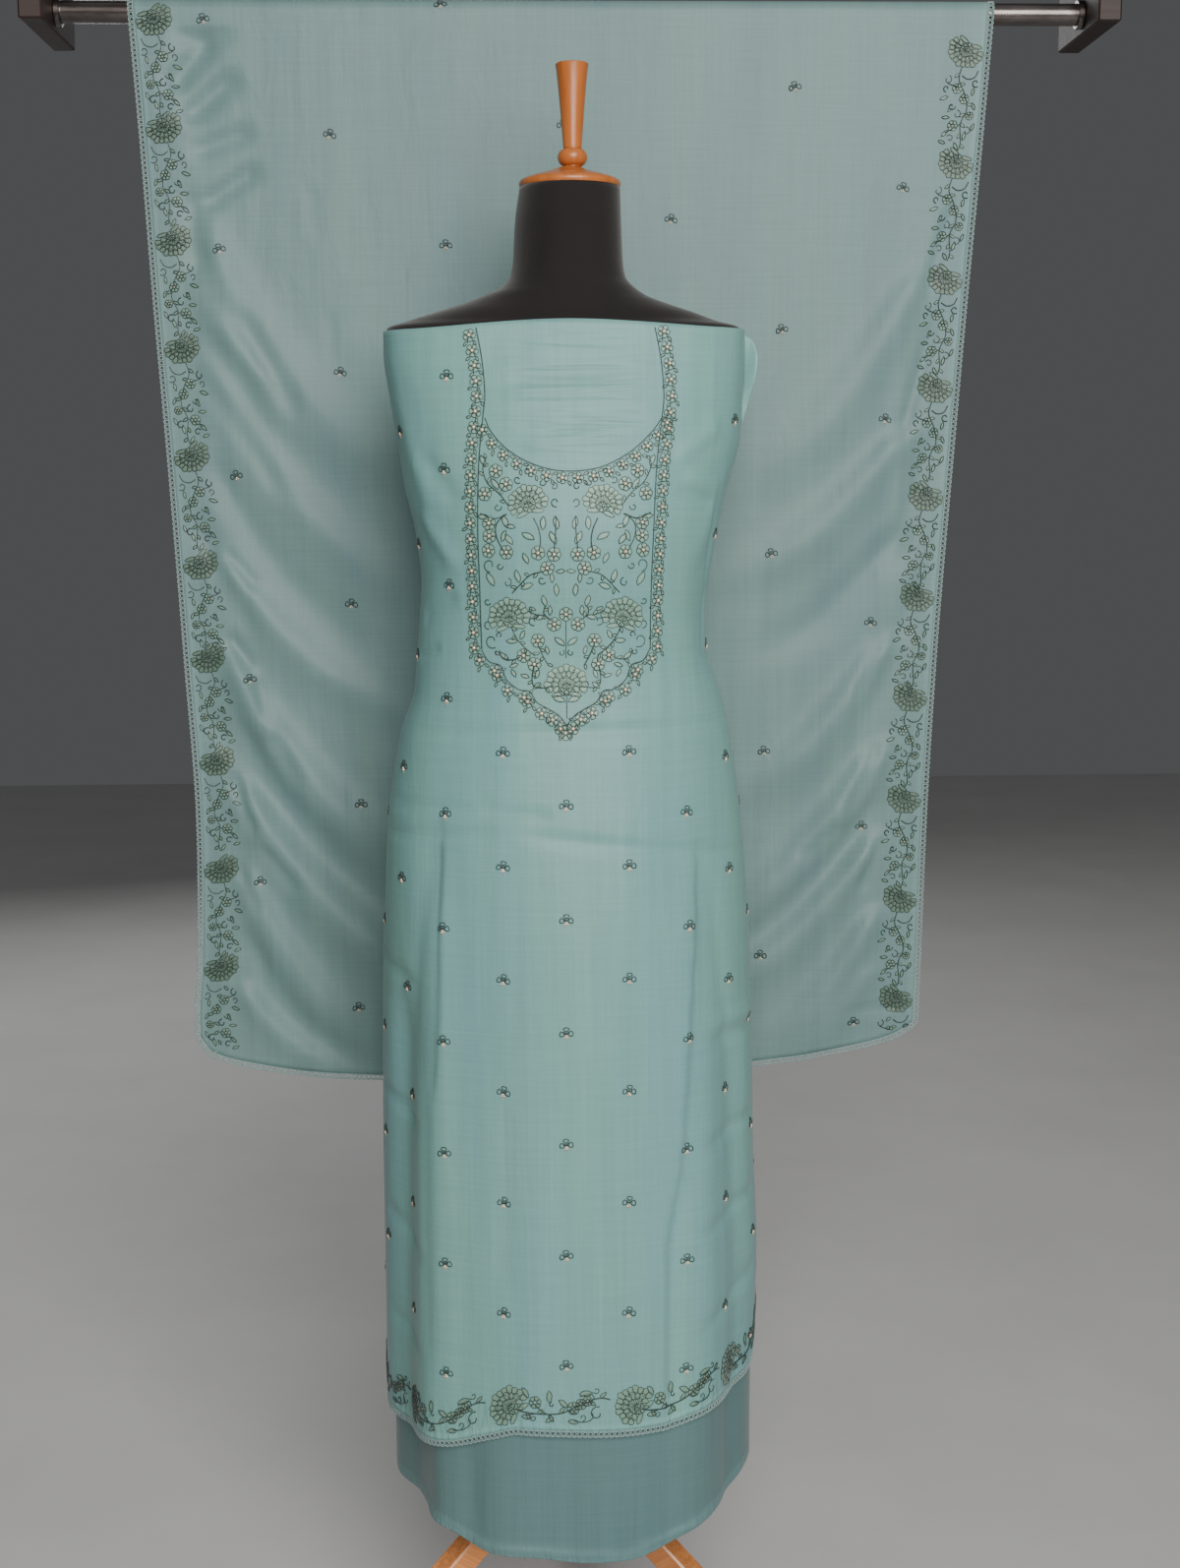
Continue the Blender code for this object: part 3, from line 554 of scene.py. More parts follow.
class DrawnCloth:  # the cloth's outer points by row and column, so that stitches lie on exactly what is drawn
    def __init__(self, points, flip=False):
        normal = np.cross(np.gradient(points, axis=0), np.gradient(points, axis=1)) * (-1 if flip else 1)
        self.points = points
        self.normal = normal / np.linalg.norm(normal, axis=2)[..., None]

    def at(self, row, column, lift):
        rows, columns = self.points.shape[:2]
        i = np.clip(np.floor(row).astype(int), 0, rows - 2)
        k = np.clip(np.floor(column).astype(int), 0, columns - 2)
        s, t = np.clip(row - i, 0, 1)[:, None], np.clip(column - k, 0, 1)[:, None]

        def between(grid):
            upper = grid[i, k] * (1 - t) + grid[i, k + 1] * t
            lower = grid[i + 1, k] * (1 - t) + grid[i + 1, k + 1] * t
            return upper * (1 - s) + lower * s

        return between(self.points) + between(self.normal) * np.asarray(lift)[:, None]

    def edge(self, closed):  # the outline or the last row, and the points just inside it
        grid = self.points
        if not closed:
            return grid[-1], grid[-2]
        outline = np.concatenate([grid[0, :-1], grid[:-1, -1], grid[-1, :0:-1], grid[:0:-1, 0]])
        inside = np.concatenate([grid[1, :-1], grid[:-1, -2], grid[-2, :0:-1], grid[:0:-1, 1]])
        return outline, inside


def edgeHeight(edge, turn):
    degrees = (np.degrees(turn) + 180) % 360 - 180
    return curveThrough(edge, degrees)


kameezFacts = {
    "topEdge": ((-180, 1.514), (-90, 1.513), (-50, 1.513), (0, 1.521), (50, 1.514), (90, 1.514), (180, 1.514)),
    "hem": (
        (-180, 0.352), (-125, 0.33), (-73, 0.318), (-50, 0.3275), (-40, 0.333), (-26, 0.3505), (-17, 0.36),
        (26, 0.3565), (38, 0.3625), (65, 0.367), (90, 0.392), (130, 0.38), (180, 0.352),
    ),
    "wall": 0.0008,
    "seam": -180,
    "lap": 22.5,  # degrees under its own free edge at the back
    "lift": 0.0019,
    "rows": 240,
    "columns": 198,
    "crowding": 1.0,
    "hemBand": 0.007,
    "puckered": 0.07,
}
kameezCreases = (
    (-0.24, 1.091, 0.2255, 1.1, 0.0065, -0.003), (-0.266, 0.977, -0.06, 0.992, 0.007, -0.0034),
    (-0.075, 0.992, 0.256, 0.952, 0.007, -0.0034), (-0.241, 1.0124, -0.09, 1.0165, 0.006, -0.0022),
    (-0.105, 1.0165, -0.015, 1.008, 0.006, -0.0024), (0.112, 1.348, 0.178, 1.328, 0.005, -0.0036),
    (0.12, 1.362, 0.182, 1.346, 0.008, 0.003), (0.178, 1.35, 0.1825, 1.235, 0.006, -0.0034),
    (0.1825, 1.25, 0.172, 1.165, 0.0055, -0.003), (-0.196, 1.168, -0.145, 1.183, 0.005, -0.003),
    (-0.19, 1.21, -0.12, 1.238, 0.009, -0.0026), (-0.185, 1.33, -0.118, 1.262, 0.011, 0.0034),
    (-0.175, 1.395, -0.112, 1.325, 0.01, -0.0026), (0.172, 1.42, 0.108, 1.372, 0.01, 0.0028),
    (-0.168, 0.77, -0.173, 0.38, 0.011, -0.003), (-0.074, 0.73, -0.079, 0.48, 0.009, -0.0015),
    (-0.0108, 0.672, -0.0258, 0.596, 0.0045, -0.001), (0.04, 0.84, 0.046, 0.5, 0.014, 0.0012),
    (-0.15, 1.0, -0.196, 0.76, 0.011, -0.002), (0.15, 0.98, 0.196, 0.72, 0.011, -0.002),
    (0.15, 0.76, 0.3, 0.7576, 0.008, -0.0036), (0.15, 0.78, 0.296, 0.776, 0.008, 0.0024),
    (0.14, 0.6465, 0.29, 0.664, 0.008, -0.0036), (0.132, 0.552, 0.29, 0.578, 0.008, -0.0036),
    (0.128, 0.445, 0.285, 0.492, 0.0085, -0.0032), (-0.3, 0.844, -0.18, 0.82, 0.008, -0.003),
    (-0.3, 0.698, -0.18, 0.66, 0.008, -0.0034), (-0.295, 0.56, -0.175, 0.52, 0.0085, -0.0034),
    (-0.295, 0.438, -0.18, 0.415, 0.008, -0.0032), (-0.07, 1.462, 0.075, 1.47, 0.0065, -0.002),
    (-0.074, 1.442, 0.06, 1.448, 0.008, 0.002), (-0.02, 1.414, 0.084, 1.424, 0.0065, -0.002),
    (-0.06, 1.392, 0.06, 1.396, 0.006, 0.0016), (-0.055, 1.484, 0.05, 1.488, 0.006, 0.0012),
    (0.33, 1.3, 0.47, 1.18, 0.011, -0.003), (-0.33, 1.31, -0.47, 1.2, 0.011, -0.003),
    (0.3, 1.09, 0.52, 1.08, 0.004, -0.0016), (-0.52, 1.085, -0.3, 1.09, 0.004, -0.0016),
    (0.35, 0.9, 0.37, 0.52, 0.011, 0.0024), (-0.35, 0.9, -0.372, 0.52, 0.011, 0.0024),
    (0.45, 0.82, 0.47, 0.48, 0.011, -0.0024), (-0.45, 0.82, -0.468, 0.48, 0.011, -0.0024),
)
# Crisp folds: heights and places across, the way they fall away, how far aside they are deepest, depth
kameezFalls = (
    (((1.0, 0.139), (0.936, 0.137), (0.796, 0.127), (0.644, 0.116), (0.531, 0.0985), (0.34, 0.0975)),
     1, 0.0085, -0.007),
    (((1.03, -0.139), (0.99, -0.142), (0.864, -0.144), (0.768, -0.149), (0.69, -0.153)), -1, 0.01, -0.007),
    (((0.96, 0.392), (0.8, 0.4), (0.6, 0.392), (0.34, 0.395)), 1, 0.016, -0.003),
    (((0.98, -0.396), (0.78, -0.39), (0.56, -0.398), (0.34, -0.4)), -1, 0.016, -0.003),
)


def fallRelief(falls, across, height):
    out = np.zeros(np.broadcast(across, height).shape)
    for path, side, width, depth in falls:
        aside = np.maximum((across - curveThrough(path, height)) * side / width, 0)
        fade = smoothStep((path[0][0] - height) / 0.09) * smoothStep((height - path[-1][0]) / 0.06)
        out = out + depth * fade * aside * np.exp(1 - aside)
    return out


kameezDepths = {  # no crease goes deeper than what lies beneath allows
    "waist": 1.1,
    "hips": 0.8,
    "low": 0.227,
    "bodice": 0.0036,
    "skirt": 0.0054,
    "nearHem": 0.0013,  # more room near the hem
}


def kameezOut(turn, height):
    across = clothAcross.acrossAt(turn, height)
    creases = creaseRelief(kameezCreases, across, height) + fallRelief(kameezFalls, across, height)
    facts = kameezDepths
    lower = smoothStep((facts["hips"] - height) / (facts["hips"] - facts["low"]))
    deepest = np.where(height > facts["waist"], facts["bodice"], facts["skirt"] + facts["nearHem"] * lower)
    creases = np.where(creases < 0, -deepest * np.tanh(-creases / deepest), creases)
    return foldRelief(skirtFolds + bodiceFolds, turn, height) + creases


# Columns crowd towards the front, where the eye is
def crowdedTurns(first, last, count, crowd=0.45):
    fine = np.linspace(first, last, 4001)
    density = 1 + crowd * np.cos(fine)
    total = runOf((density[1:] + density[:-1]) / 2)
    return np.interp(np.linspace(0, total[-1], count), total, fine)


neckWrinkles = {"across": 0.004, "height": 1.45, "radius": 0.085}  # where the cloth is crumpled inside the neckline


def wrapCloth(name, finish, facts, seam, topAt, outAt):
    first = math.radians(seam - facts["lap"])
    turns = crowdedTurns(first, first + math.radians(360 + facts["lap"]), facts["columns"])
    down = 1 - (1 - np.linspace(0, 1, facts["rows"])[:, None]) ** facts["crowding"]
    top, low = topAt(turns), edgeHeight(facts["hem"], turns)
    height = top + (low - top) * down
    turn = np.broadcast_to(turns, height.shape)
    lift = facts["lift"] * smoothStep((turn - turns[0] - 2 * math.pi) / math.radians(facts["lap"]))
    points = bodyPoint(turn, height, outAt(turn, height) + lift)
    uv = np.stack([clothAcross.acrossAt(turn, height), height], axis=-1)
    hem = smoothStep(1 - (height - low - facts["hemBand"]) / 0.002)
    pucker = smoothStep(1 - (height - low) / facts["puckered"])
    aside = (uv[..., 0] - neckWrinkles["across"]) / neckWrinkles["radius"]
    above = (height - neckWrinkles["height"]) / neckWrinkles["radius"]
    fields = {"hem": hem, "pucker": pucker, "wrinkle": smoothStep(1.3 - aside**2 - above**2)}
    # rows run down and columns towards a rising turn, so the faces look outwards
    return clothPiece(name, points, uv, finish, facts["wall"], fields), turns, DrawnCloth(points)


kameezCloth, kameezTurns, kameezDrawn = wrapCloth(
    "kameezCloth", finishes["kameez"], kameezFacts, kameezFacts["seam"],
    lambda turn: edgeHeight(kameezFacts["topEdge"], turn), kameezOut)
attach(kameezCloth, "root")
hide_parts("kameez_cloth")
print("kameez wrapped", len(kameezCloth.data.polygons))

salwarFacts = {
    "top": 1.09,
    "hem": (
        (-180, 0.227), (-95, 0.234), (-70, 0.234), (-45, 0.23), (-28, 0.214), (-12, 0.2125), (2, 0.208), (16, 0.2075),
        (35, 0.2235), (46, 0.2325), (62, 0.236), (76, 0.244), (130, 0.232), (180, 0.227),
    ),
    "under": 0.007,
    "underAtHem": 0.0085,
    "hips": 0.8,
    "hemMiddle": 0.227,
    "wall": 0.0008,
    "seam": -106,
    "lap": 22.5,
    "lift": 0.0019,
    "rows": 66,
    "columns": 150,
    "crowding": 1.7,  # more rows towards the hem, where it shows
    "hemBand": 0.012,
    "puckered": 0.02,
}
salwarCreases = (
    (-0.205, 0.238, -0.15, 0.223, 0.004, 0.0022), (-0.15, 0.224, 0.06, 0.2165, 0.004, 0.0018),
    (0.05, 0.2165, 0.19, 0.24, 0.004, 0.002), (-0.118, 0.34, -0.122, 0.23, 0.008, -0.0016),
    (0.052, 0.34, 0.06, 0.225, 0.011, 0.0012),
)


def salwarOut(turn, height):
    across = clothAcross.acrossAt(turn, height)
    facts = salwarFacts
    sink = smoothStep((facts["hips"] - height) / (facts["hips"] - facts["hemMiddle"]))
    under = facts["under"] + (facts["underAtHem"] - facts["under"]) * sink
    return foldRelief(skirtFolds + salwarFolds, turn, height) - under + creaseRelief(salwarCreases, across, height)


salwarCloth = wrapCloth(
    "salwarCloth", finishes["salwar"], salwarFacts, salwarFacts["seam"],
    lambda turn: np.full_like(turn, salwarFacts["top"]), salwarOut)[0]
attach(salwarCloth, "root")
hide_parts("salwar_cloth")
print("salwar wrapped", len(salwarCloth.data.polygons))

flapFacts = {  # the cloth's free edge, standing off beside the right shoulder
    # heights, and how far it stands off there
    "path": (
        (1.512, 0.0008), (1.5, 0.011), (1.486, 0.014), (1.465, 0.013), (1.448, 0.0095), (1.43, 0.005),
        (1.416, 0.0008),
    ),
    "turn": 84,
    "rows": 40,
    "columns": 7,
    "sunk": 0.0006,  # its root lies this far inside the kameez
    "wave": 0.0028,
    "waveRate": 90,
    "waveLag": 1.4,
    "ahead": 0.35,  # how much it leans to the front as it stands off
    "weaveAt": 0.3,
    "flat": (0.098, 0.012),
}


def shoulderFlap():
    facts = flapFacts
    height = np.linspace(facts["path"][0][0], facts["path"][-1][0], facts["rows"])[:, None]
    out = np.linspace(0, 1, facts["columns"])[None, :]
    wide = curveThrough(facts["path"], height)
    turn = np.radians(facts["turn"] + 0 * out)
    root = bodyPoint(turn, height, kameezOut(turn, height) - facts["sunk"])
    sway = facts["wave"] * np.sin(facts["waveRate"] * (facts["path"][0][0] - height) + facts["waveLag"] * out) * out
    points = root + stacked(wide * out, sway - facts["ahead"] * wide * out, 0 * out * height)
    uv = stacked(facts["weaveAt"] + wide * out, height + 0 * out)
    fields = {"hem": smoothStep((out - 0.8) / 0.1) + 0 * height, "pucker": 0 * out * height}
    return clothPiece("shoulderFlap", points, uv, finishes["kameez"], kameezFacts["wall"], fields)


shoulderEdge = shoulderFlap()
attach(shoulderEdge, "root")

formFacts = {
    "turns": 128,
    "shoulderRows": 70,
    "underKameez": 0.0046,
    "underSalwar": 0.009,
    "foot": ((0.804, 0.005), (0.8, 0.014)),  # heights, and how far the lowest edge draws in
}


def formBody():
    turns = np.linspace(0, 2 * math.pi, formFacts["turns"], endpoint=False)
    index = np.arange(len(shoulderRows["height"]))
    fine = np.linspace(0, index[-1], formFacts["shoulderRows"])
    rows = []
    for at in fine:
        section = [easedCurve(index, shoulderRows[field], at) for field in (*sectionFields, "height")]
        rows.append(sectionPoint(turns, *section, 0.0))
    for height in bodyRows["height"][1:15]:
        under = formFacts["underKameez"] if height > salwarFacts["top"] else formFacts["underSalwar"]
        rows.append(bodyPoint(turns, np.full_like(turns, height), -under - kameezFacts["wall"]))
    for height, draw in formFacts["foot"]:
        rows.append(bodyPoint(turns, np.full_like(turns, height), -formFacts["underSalwar"] - draw))
    count = len(turns)
    faces = gridFaces(len(rows), count, loop=True)
    faces += [tuple(range(count)), tuple(range((len(rows) - 1) * count, len(rows) * count))]
    mesh = meshFrom("formBody", np.concatenate(rows), faces)
    bm = bmesh.new()
    bm.from_mesh(mesh)
    bmesh.ops.recalc_face_normals(bm, faces=bm.faces)
    bm.to_mesh(mesh)
    bm.free()
    return linkMesh("formBody", mesh, finishes["jersey"])


body = formBody()
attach(body, "root")
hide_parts("form_torso")
print("form covered")


def turned(name, profile, segments, finish, place, lying=False):
    bm = bmesh.new()
    rings = []
    for radius, height in profile:
        ring = []
        for k in range(segments if radius > 0 else 1):
            angle = 2 * math.pi * k / segments
            point = Vector((radius * math.cos(angle), radius * math.sin(angle), height))
            if lying:
                point = Vector((point.z, point.y, -point.x))
            ring.append(bm.verts.new(point + Vector(place)))
        rings.append(ring)
    for upper, lower in zip(rings, rings[1:]):
        for k in range(segments):
            after = (k + 1) % segments
            corners = [ring[at % len(ring)] for ring, at in ((upper, k), (lower, k), (lower, after), (upper, after))]
            unique = list(dict.fromkeys(corners))
            if len(unique) > 2:
                bm.faces.new(unique)
    bmesh.ops.recalc_face_normals(bm, faces=bm.faces)
    mesh = meshOf(name, bm)
    mesh.shade_smooth()
    mesh.set_sharp_from_angle(angle=math.radians(38))
    return linkMesh(name, mesh, finish)


neckFacts = {
    "discAt": (0.0055, 1.664),
    "discProfile": (
        (0.0, 0.0205), (0.013, 0.02), (0.022, 0.0165), (0.034, 0.013), (0.046, 0.0095), (0.0525, 0.0065),
        (0.054, 0.0045), (0.054, 0.0015), (0.053, 0.0), (0.0, 0.0),
    ),
    "finialAt": (0.0085, 1.6848),
    "ballHigh": 0.0195,
    "ballRadius": 0.0158,
    "flareHigh": 0.0865,
    "flareFoot": 0.0098,
    "flareTop": 0.0176,
    "segments": 72,
}


def rounded(profile, first, last, steps):  # eases the stretch of a profile between two of its points
    index = np.arange(first, last + 1)
    fine = np.linspace(first, last, steps)
    radii = easedCurve(index, [profile[i][0] for i in index], fine)
    heights = easedCurve(index, [profile[i][1] for i in index], fine)
    return [*profile[:first], *zip(radii, heights), *profile[last + 1 :]]


def finialProfile():
    facts = neckFacts
    top = facts["ballHigh"] + facts["flareHigh"]
    lip = 0.0015
    profile = [(0.0, top), (facts["flareTop"] - 2 * lip, top), (facts["flareTop"] - lip / 2, top - lip / 3)]
    for s in np.linspace(0, 1, 14):
        radius = facts["flareTop"] + (facts["flareFoot"] - facts["flareTop"]) * s**0.8
        profile.append((radius, top - lip - (facts["flareHigh"] - lip) * s))
    for angle in np.linspace(0, math.pi, 17)[1:-1]:
        radius = max(facts["ballRadius"] * math.sin(angle) ** 0.6, facts["flareFoot"] * 0.94)
        profile.append((radius, facts["ballHigh"] * (1 + math.cos(angle)) / 2))
    return [*profile, (facts["flareFoot"], 0.0), (0.0, 0.0)]


discProfile = rounded(neckFacts["discProfile"], 1, 6, 24)
for name, node, profile, (x, z) in (("neckDisc", "neck_disc", discProfile, neckFacts["discAt"]),
                                    ("neckFinial", "neck_finial", finialProfile(), neckFacts["finialAt"])):
    place = (x + formAxis[0], formAxis[1], z)
    piece = turned(name, profile, neckFacts["segments"], finishes["turnedWood"], place)
    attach(piece, "root")
    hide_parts(node)
print("neck turned")

lightHoney, darkHoney = (0.66, 0.255, 0.08), (0.46, 0.16, 0.045)
legTilt = math.radians(-52)


def legWood(name, turn, tone):  # turned about Z until the leg lies along Y, then tilted until it lies along Z
    shade = Shade(name)
    tilted = shade.mapped(shade.onObject(turn=(0, 0, turn)), turn=(legTilt, 0, 0))
    fine = shade.noise(shade.mapped(tilted, (190, 190, 9)), detail=4, roughness=0.6, distortion=0.5)
    # tone is painted light: it lightens a whole leg's wood, as if that leg caught more light
    dark, light = (tuple(c * tone for c in colour) for colour in (darkHoney, lightHoney))
    shade.colour(shade.ramp(fine, ((0.35, dark), (0.65, light))))
    shade.rough(fine, 0.3, 0.46)
    shade.put(Coat_Weight=0.35, Coat_Roughness=0.25)
    shade.bump((fine, 0.0003))
    return shade.material


def repaint(node, material):
    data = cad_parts[node].data
    data.materials.clear()
    data.materials.append(material)


legTurnsAndPaintedLight = {"leg_left": (60, 1.5), "leg_right": (-60, 1.0), "leg_back": (180, 1.1)}  # turn, and tone: painted light, how much lighter each leg's wood is painted, as if lit more (most on the left leg)
for node, (turn, tone) in legTurnsAndPaintedLight.items():
    repaint(node, legWood(node + "_wood", math.radians(turn), tone))
repaint("stand_hub", varnishedWood("hubWood", lightHoney, darkHoney))
repaint("form_pole", varnishedWood("poleWood", lightHoney, darkHoney))
darkBrown, deepBrown = (0.03, 0.011, 0.007), (0.01, 0.004, 0.003)
for node in ("rail_block_left", "rail_block_right"):
    along = (0, math.radians(90), 0)
    repaint(node, varnishedWood(node + "_wood", darkBrown, deepBrown, along, coat=0.0, roughness=(0.5, 0.65)))
print("stand finished")

rodFacts = {
    "radius": 0.0125,
    "y": 0.24 - 0.074,
    "z": 1.894,
    "left": -0.5975,
    "right": 0.5975,
    "segments": 72,
    "socketRadius": 0.0165,
    "socketLong": 0.007,
    "gap": 0.0003,
    "rodEase": 0.0006,
    "socketEase": 0.0008,
}


def easedTube(inner, outer, long, ease):  # a tube's or a rod's outline, with its edges eased
    face = [(outer - ease, long), (outer, long - ease), (outer, ease), (outer - ease, 0.0)]
    return [(inner, long), *face, (inner, 0.0), *([(inner, long)] if inner else [])]


def onRod(name, profile, x):
    place = (x, rodFacts["y"], rodFacts["z"])
    return turned(name, profile, rodFacts["segments"], finishes["steel"], place, lying=True)


rodLong = rodFacts["right"] - rodFacts["left"] - 2 * rodFacts["gap"]
rodOutline = easedTube(0.0, rodFacts["radius"], rodLong, rodFacts["rodEase"])
socketOutline = easedTube(
    rodFacts["radius"] + rodFacts["gap"], rodFacts["socketRadius"], rodFacts["socketLong"], rodFacts["socketEase"])
railTube = onRod("railTube", rodOutline, rodFacts["left"] + rodFacts["gap"])
sockets = {
    "rail_socket_left": rodFacts["left"] + rodFacts["gap"],
    "rail_socket_right": rodFacts["right"] - rodFacts["gap"] - rodFacts["socketLong"],
}
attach(railTube, "root")
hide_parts("rail_rod")
for node, x in sockets.items():
    name = "railSocketLeft" if node.endswith("left") else "railSocketRight"
    socket = onRod(name, socketOutline, x)
    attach(socket, "root")
    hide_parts(node)
print("rod drawn")

dupattaFacts = {
    "wall": 0.0007,
    "outer": 0.014,  # from the rod's axis to the cloth's outer face
    "columns": 138,
    "rodRows": 9,
    "frontRows": 170,
    "backRows": 130,
    "crowding": 0.25,
    "hemBand": 0.006,
    "edges": {
        "front": (
            (1.91, -0.4895, 0.5025), (1.74, -0.4795, 0.4905), (1.57, -0.4715, 0.4775), (1.37, -0.4605, 0.4635),
            (1.14, -0.4495, 0.4485), (0.95, -0.4415, 0.4405), (0.78, -0.4455, 0.4365), (0.7, -0.4515, 0.4345),
            (0.62, -0.4495, 0.4315),
        ),
        "back": (
            (1.91, -0.4895, 0.5025), (1.57, -0.4665, 0.4715), (1.14, -0.4415, 0.4375), (0.78, -0.4355, 0.4275),
            (0.69, -0.4255, 0.4175),
        ),
    },
    "hem": {
        "front": (
            (-1.0, 0.679), (-0.97, 0.66), (-0.86, 0.645), (-0.7, 0.634), (-0.4, 0.626), (0.4, 0.631), (0.54, 0.637),
            (0.72, 0.648), (0.83, 0.656), (0.94, 0.669), (1.0, 0.685),
        ),
        "back": (
            (-1.0, 0.748), (-0.97, 0.728), (-0.6, 0.712), (0.0, 0.704), (0.6, 0.714), (0.97, 0.732), (1.0, 0.752),
        ),
    },
}
# Swags: side, start and foot heights, how far in each runs, width, depth
dupattaSwags = {
    "front": (
        (-1, 1.7, 1.4, 0.15, 0.034, 0.0085), (-1, 1.52, 1.26, 0.15, 0.03, 0.0085),
        (-1, 1.4, 1.18, 0.13, 0.024, -0.005), (-1, 1.29, 1.1, 0.14, 0.026, 0.0095),
        (-1, 1.173, 0.915, 0.15, 0.03, 0.0135), (-1, 1.095, 0.85, 0.16, 0.024, -0.0065),
        (-1, 1.013, 0.755, 0.195, 0.032, 0.014), (-1, 0.908, 0.69, 0.125, 0.026, 0.0115),
        (-1, 0.83, 0.64, 0.13, 0.022, -0.0055), (-1, 0.755, 0.63, 0.115, 0.022, 0.008),
        (1, 1.62, 1.38, 0.13, 0.034, 0.008), (1, 1.43, 1.254, 0.14, 0.03, 0.009),
        (1, 1.311, 1.16, 0.12, 0.024, -0.0055), (1, 1.182, 0.995, 0.125, 0.028, 0.0115),
        (1, 1.055, 0.825, 0.155, 0.03, 0.014), (1, 0.99, 0.78, 0.16, 0.024, -0.0065),
        (1, 0.936, 0.74, 0.165, 0.028, 0.013), (1, 0.844, 0.665, 0.105, 0.026, 0.011),
        (1, 0.77, 0.64, 0.09, 0.022, 0.006),
    ),
    "back": (
        (-1, 1.48, 1.18, 0.16, 0.032, 0.01), (-1, 1.2, 0.93, 0.15, 0.03, 0.013), (-1, 0.98, 0.75, 0.16, 0.03, 0.012),
        (1, 1.42, 1.15, 0.15, 0.032, 0.01), (1, 1.14, 0.89, 0.15, 0.03, 0.013), (1, 0.94, 0.74, 0.14, 0.03, 0.011),
    ),
}
swagFacts = {
    "inset": 0.05,  # where they start inside a border
    "bend": {-1: 1.6, 1: 1.3},  # how they flatten on their way in, at either side
    "past": 1.25,  # they fade out this far past their feet
    "clearOf": 1.88,  # nothing stands out above this, where the cloth leaves the rod
}
# Small creases of the hanging cloth: x and height from and to, half width, depth
dupattaCreases = {
    "front": (
        (-0.45, 1.866, -0.37, 1.868, 0.009, -0.007), (-0.455, 1.8, -0.395, 1.87, 0.013, -0.009),
        (-0.44, 1.768, -0.368, 1.826, 0.012, -0.0085), (-0.436, 1.732, -0.35, 1.762, 0.0095, -0.006),
        (-0.42, 1.672, -0.345, 1.722, 0.0095, -0.007), (-0.428, 1.7, -0.42, 1.59, 0.015, -0.008),
        (-0.44, 1.6, -0.3, 1.4, 0.016, 0.005), (-0.385, 1.57, -0.305, 1.415, 0.014, -0.006),
        (-0.436, 1.505, -0.318, 1.32, 0.013, -0.006), (-0.425, 1.56, -0.33, 1.455, 0.012, 0.003),
        (-0.29, 1.705, -0.285, 1.63, 0.0035, -0.0018), (-0.273, 1.56, -0.269, 1.49, 0.0035, -0.0018),
        (-0.445, 1.33, -0.36, 1.16, 0.014, -0.0036), (-0.44, 1.1, -0.34, 0.94, 0.014, -0.0034),
        (0.455, 1.43, 0.39, 1.23, 0.014, -0.0036), (0.44, 1.25, 0.36, 1.05, 0.014, -0.0034),
        (0.45, 1.56, 0.4, 1.38, 0.008, -0.004), (0.47, 1.69, 0.43, 1.56, 0.008, -0.0035),
        (0.33, 0.7, 0.43, 0.705, 0.004, -0.003), (0.39, 1.045, 0.3445, 0.944, 0.0075, -0.007),
        (0.3445, 0.944, 0.285, 0.889, 0.009, -0.005), (0.394, 0.926, 0.361, 0.844, 0.0075, -0.006),
        (0.392, 1.175, 0.352, 1.085, 0.0075, -0.005), (-0.4045, 1.013, -0.3737, 0.925, 0.0075, -0.007),
        (-0.3737, 0.925, -0.32, 0.855, 0.009, -0.0055), (-0.404, 1.181, -0.373, 1.129, 0.007, -0.006),
        (-0.373, 1.129, -0.355, 1.062, 0.008, -0.005), (-0.355, 1.062, -0.316, 0.987, 0.009, -0.005),
        (-0.406, 1.279, -0.362, 1.225, 0.007, -0.006), (-0.4, 0.9, -0.372, 0.83, 0.007, -0.006),
    ),
    "back": (
        (-0.38, 1.7, -0.3, 1.64, 0.01, -0.004), (0.38, 1.68, 0.3, 1.62, 0.01, -0.004),
        (-0.43, 1.4, -0.29, 1.12, 0.009, -0.004), (0.43, 1.38, 0.3, 1.1, 0.009, -0.004),
    ),
}


def dupattaBorders(stretch, height):
    heights, left, right = zip(*dupattaFacts["edges"][stretch])
    return easedCurve(heights, left, height), easedCurve(heights, right, height)


def swagRelief(stretch, x, height):
    left, right = dupattaBorders(stretch, height)
    out = np.zeros(np.broadcast(x, height).shape)
    for side, start, foot, run, width, depth in dupattaSwags[stretch]:
        down, bend = np.clip((start - height) / (start - foot), 0, swagFacts["past"]), swagFacts["bend"][side]
        slope = bend * run * down ** (bend - 1) / (start - foot)
        ridge = (left if side < 0 else right) - side * (swagFacts["inset"] + run * down**bend)
        aside = (x - ridge) / np.sqrt(1 + slope**2) / (width * (0.45 + 0.65 * down))
        fade = smoothStep(down / 0.22) * smoothStep((swagFacts["past"] - down) / 0.45)
        out = out + depth * fade * np.exp(-(aside**2))
    clear = smoothStep((swagFacts["clearOf"] - height) / 0.02)
    return out + clear * creaseRelief(dupattaCreases[stretch], x, height)


def dupattaPoint(stretch, x, height):  # below the rod
    facing = -1 if stretch == "front" else 1
    away = dupattaFacts["outer"] + swagRelief(stretch, x, height)
    return stacked(x + formAxis[0], rodFacts["y"] + facing * away, height)


def dupattaColumns():  # places across from -1 to 1, which crowd towards the borders
    steps = np.linspace(-1, 1, dupattaFacts["columns"])
    return steps * (1 + dupattaFacts["crowding"] - dupattaFacts["crowding"] * steps**2)


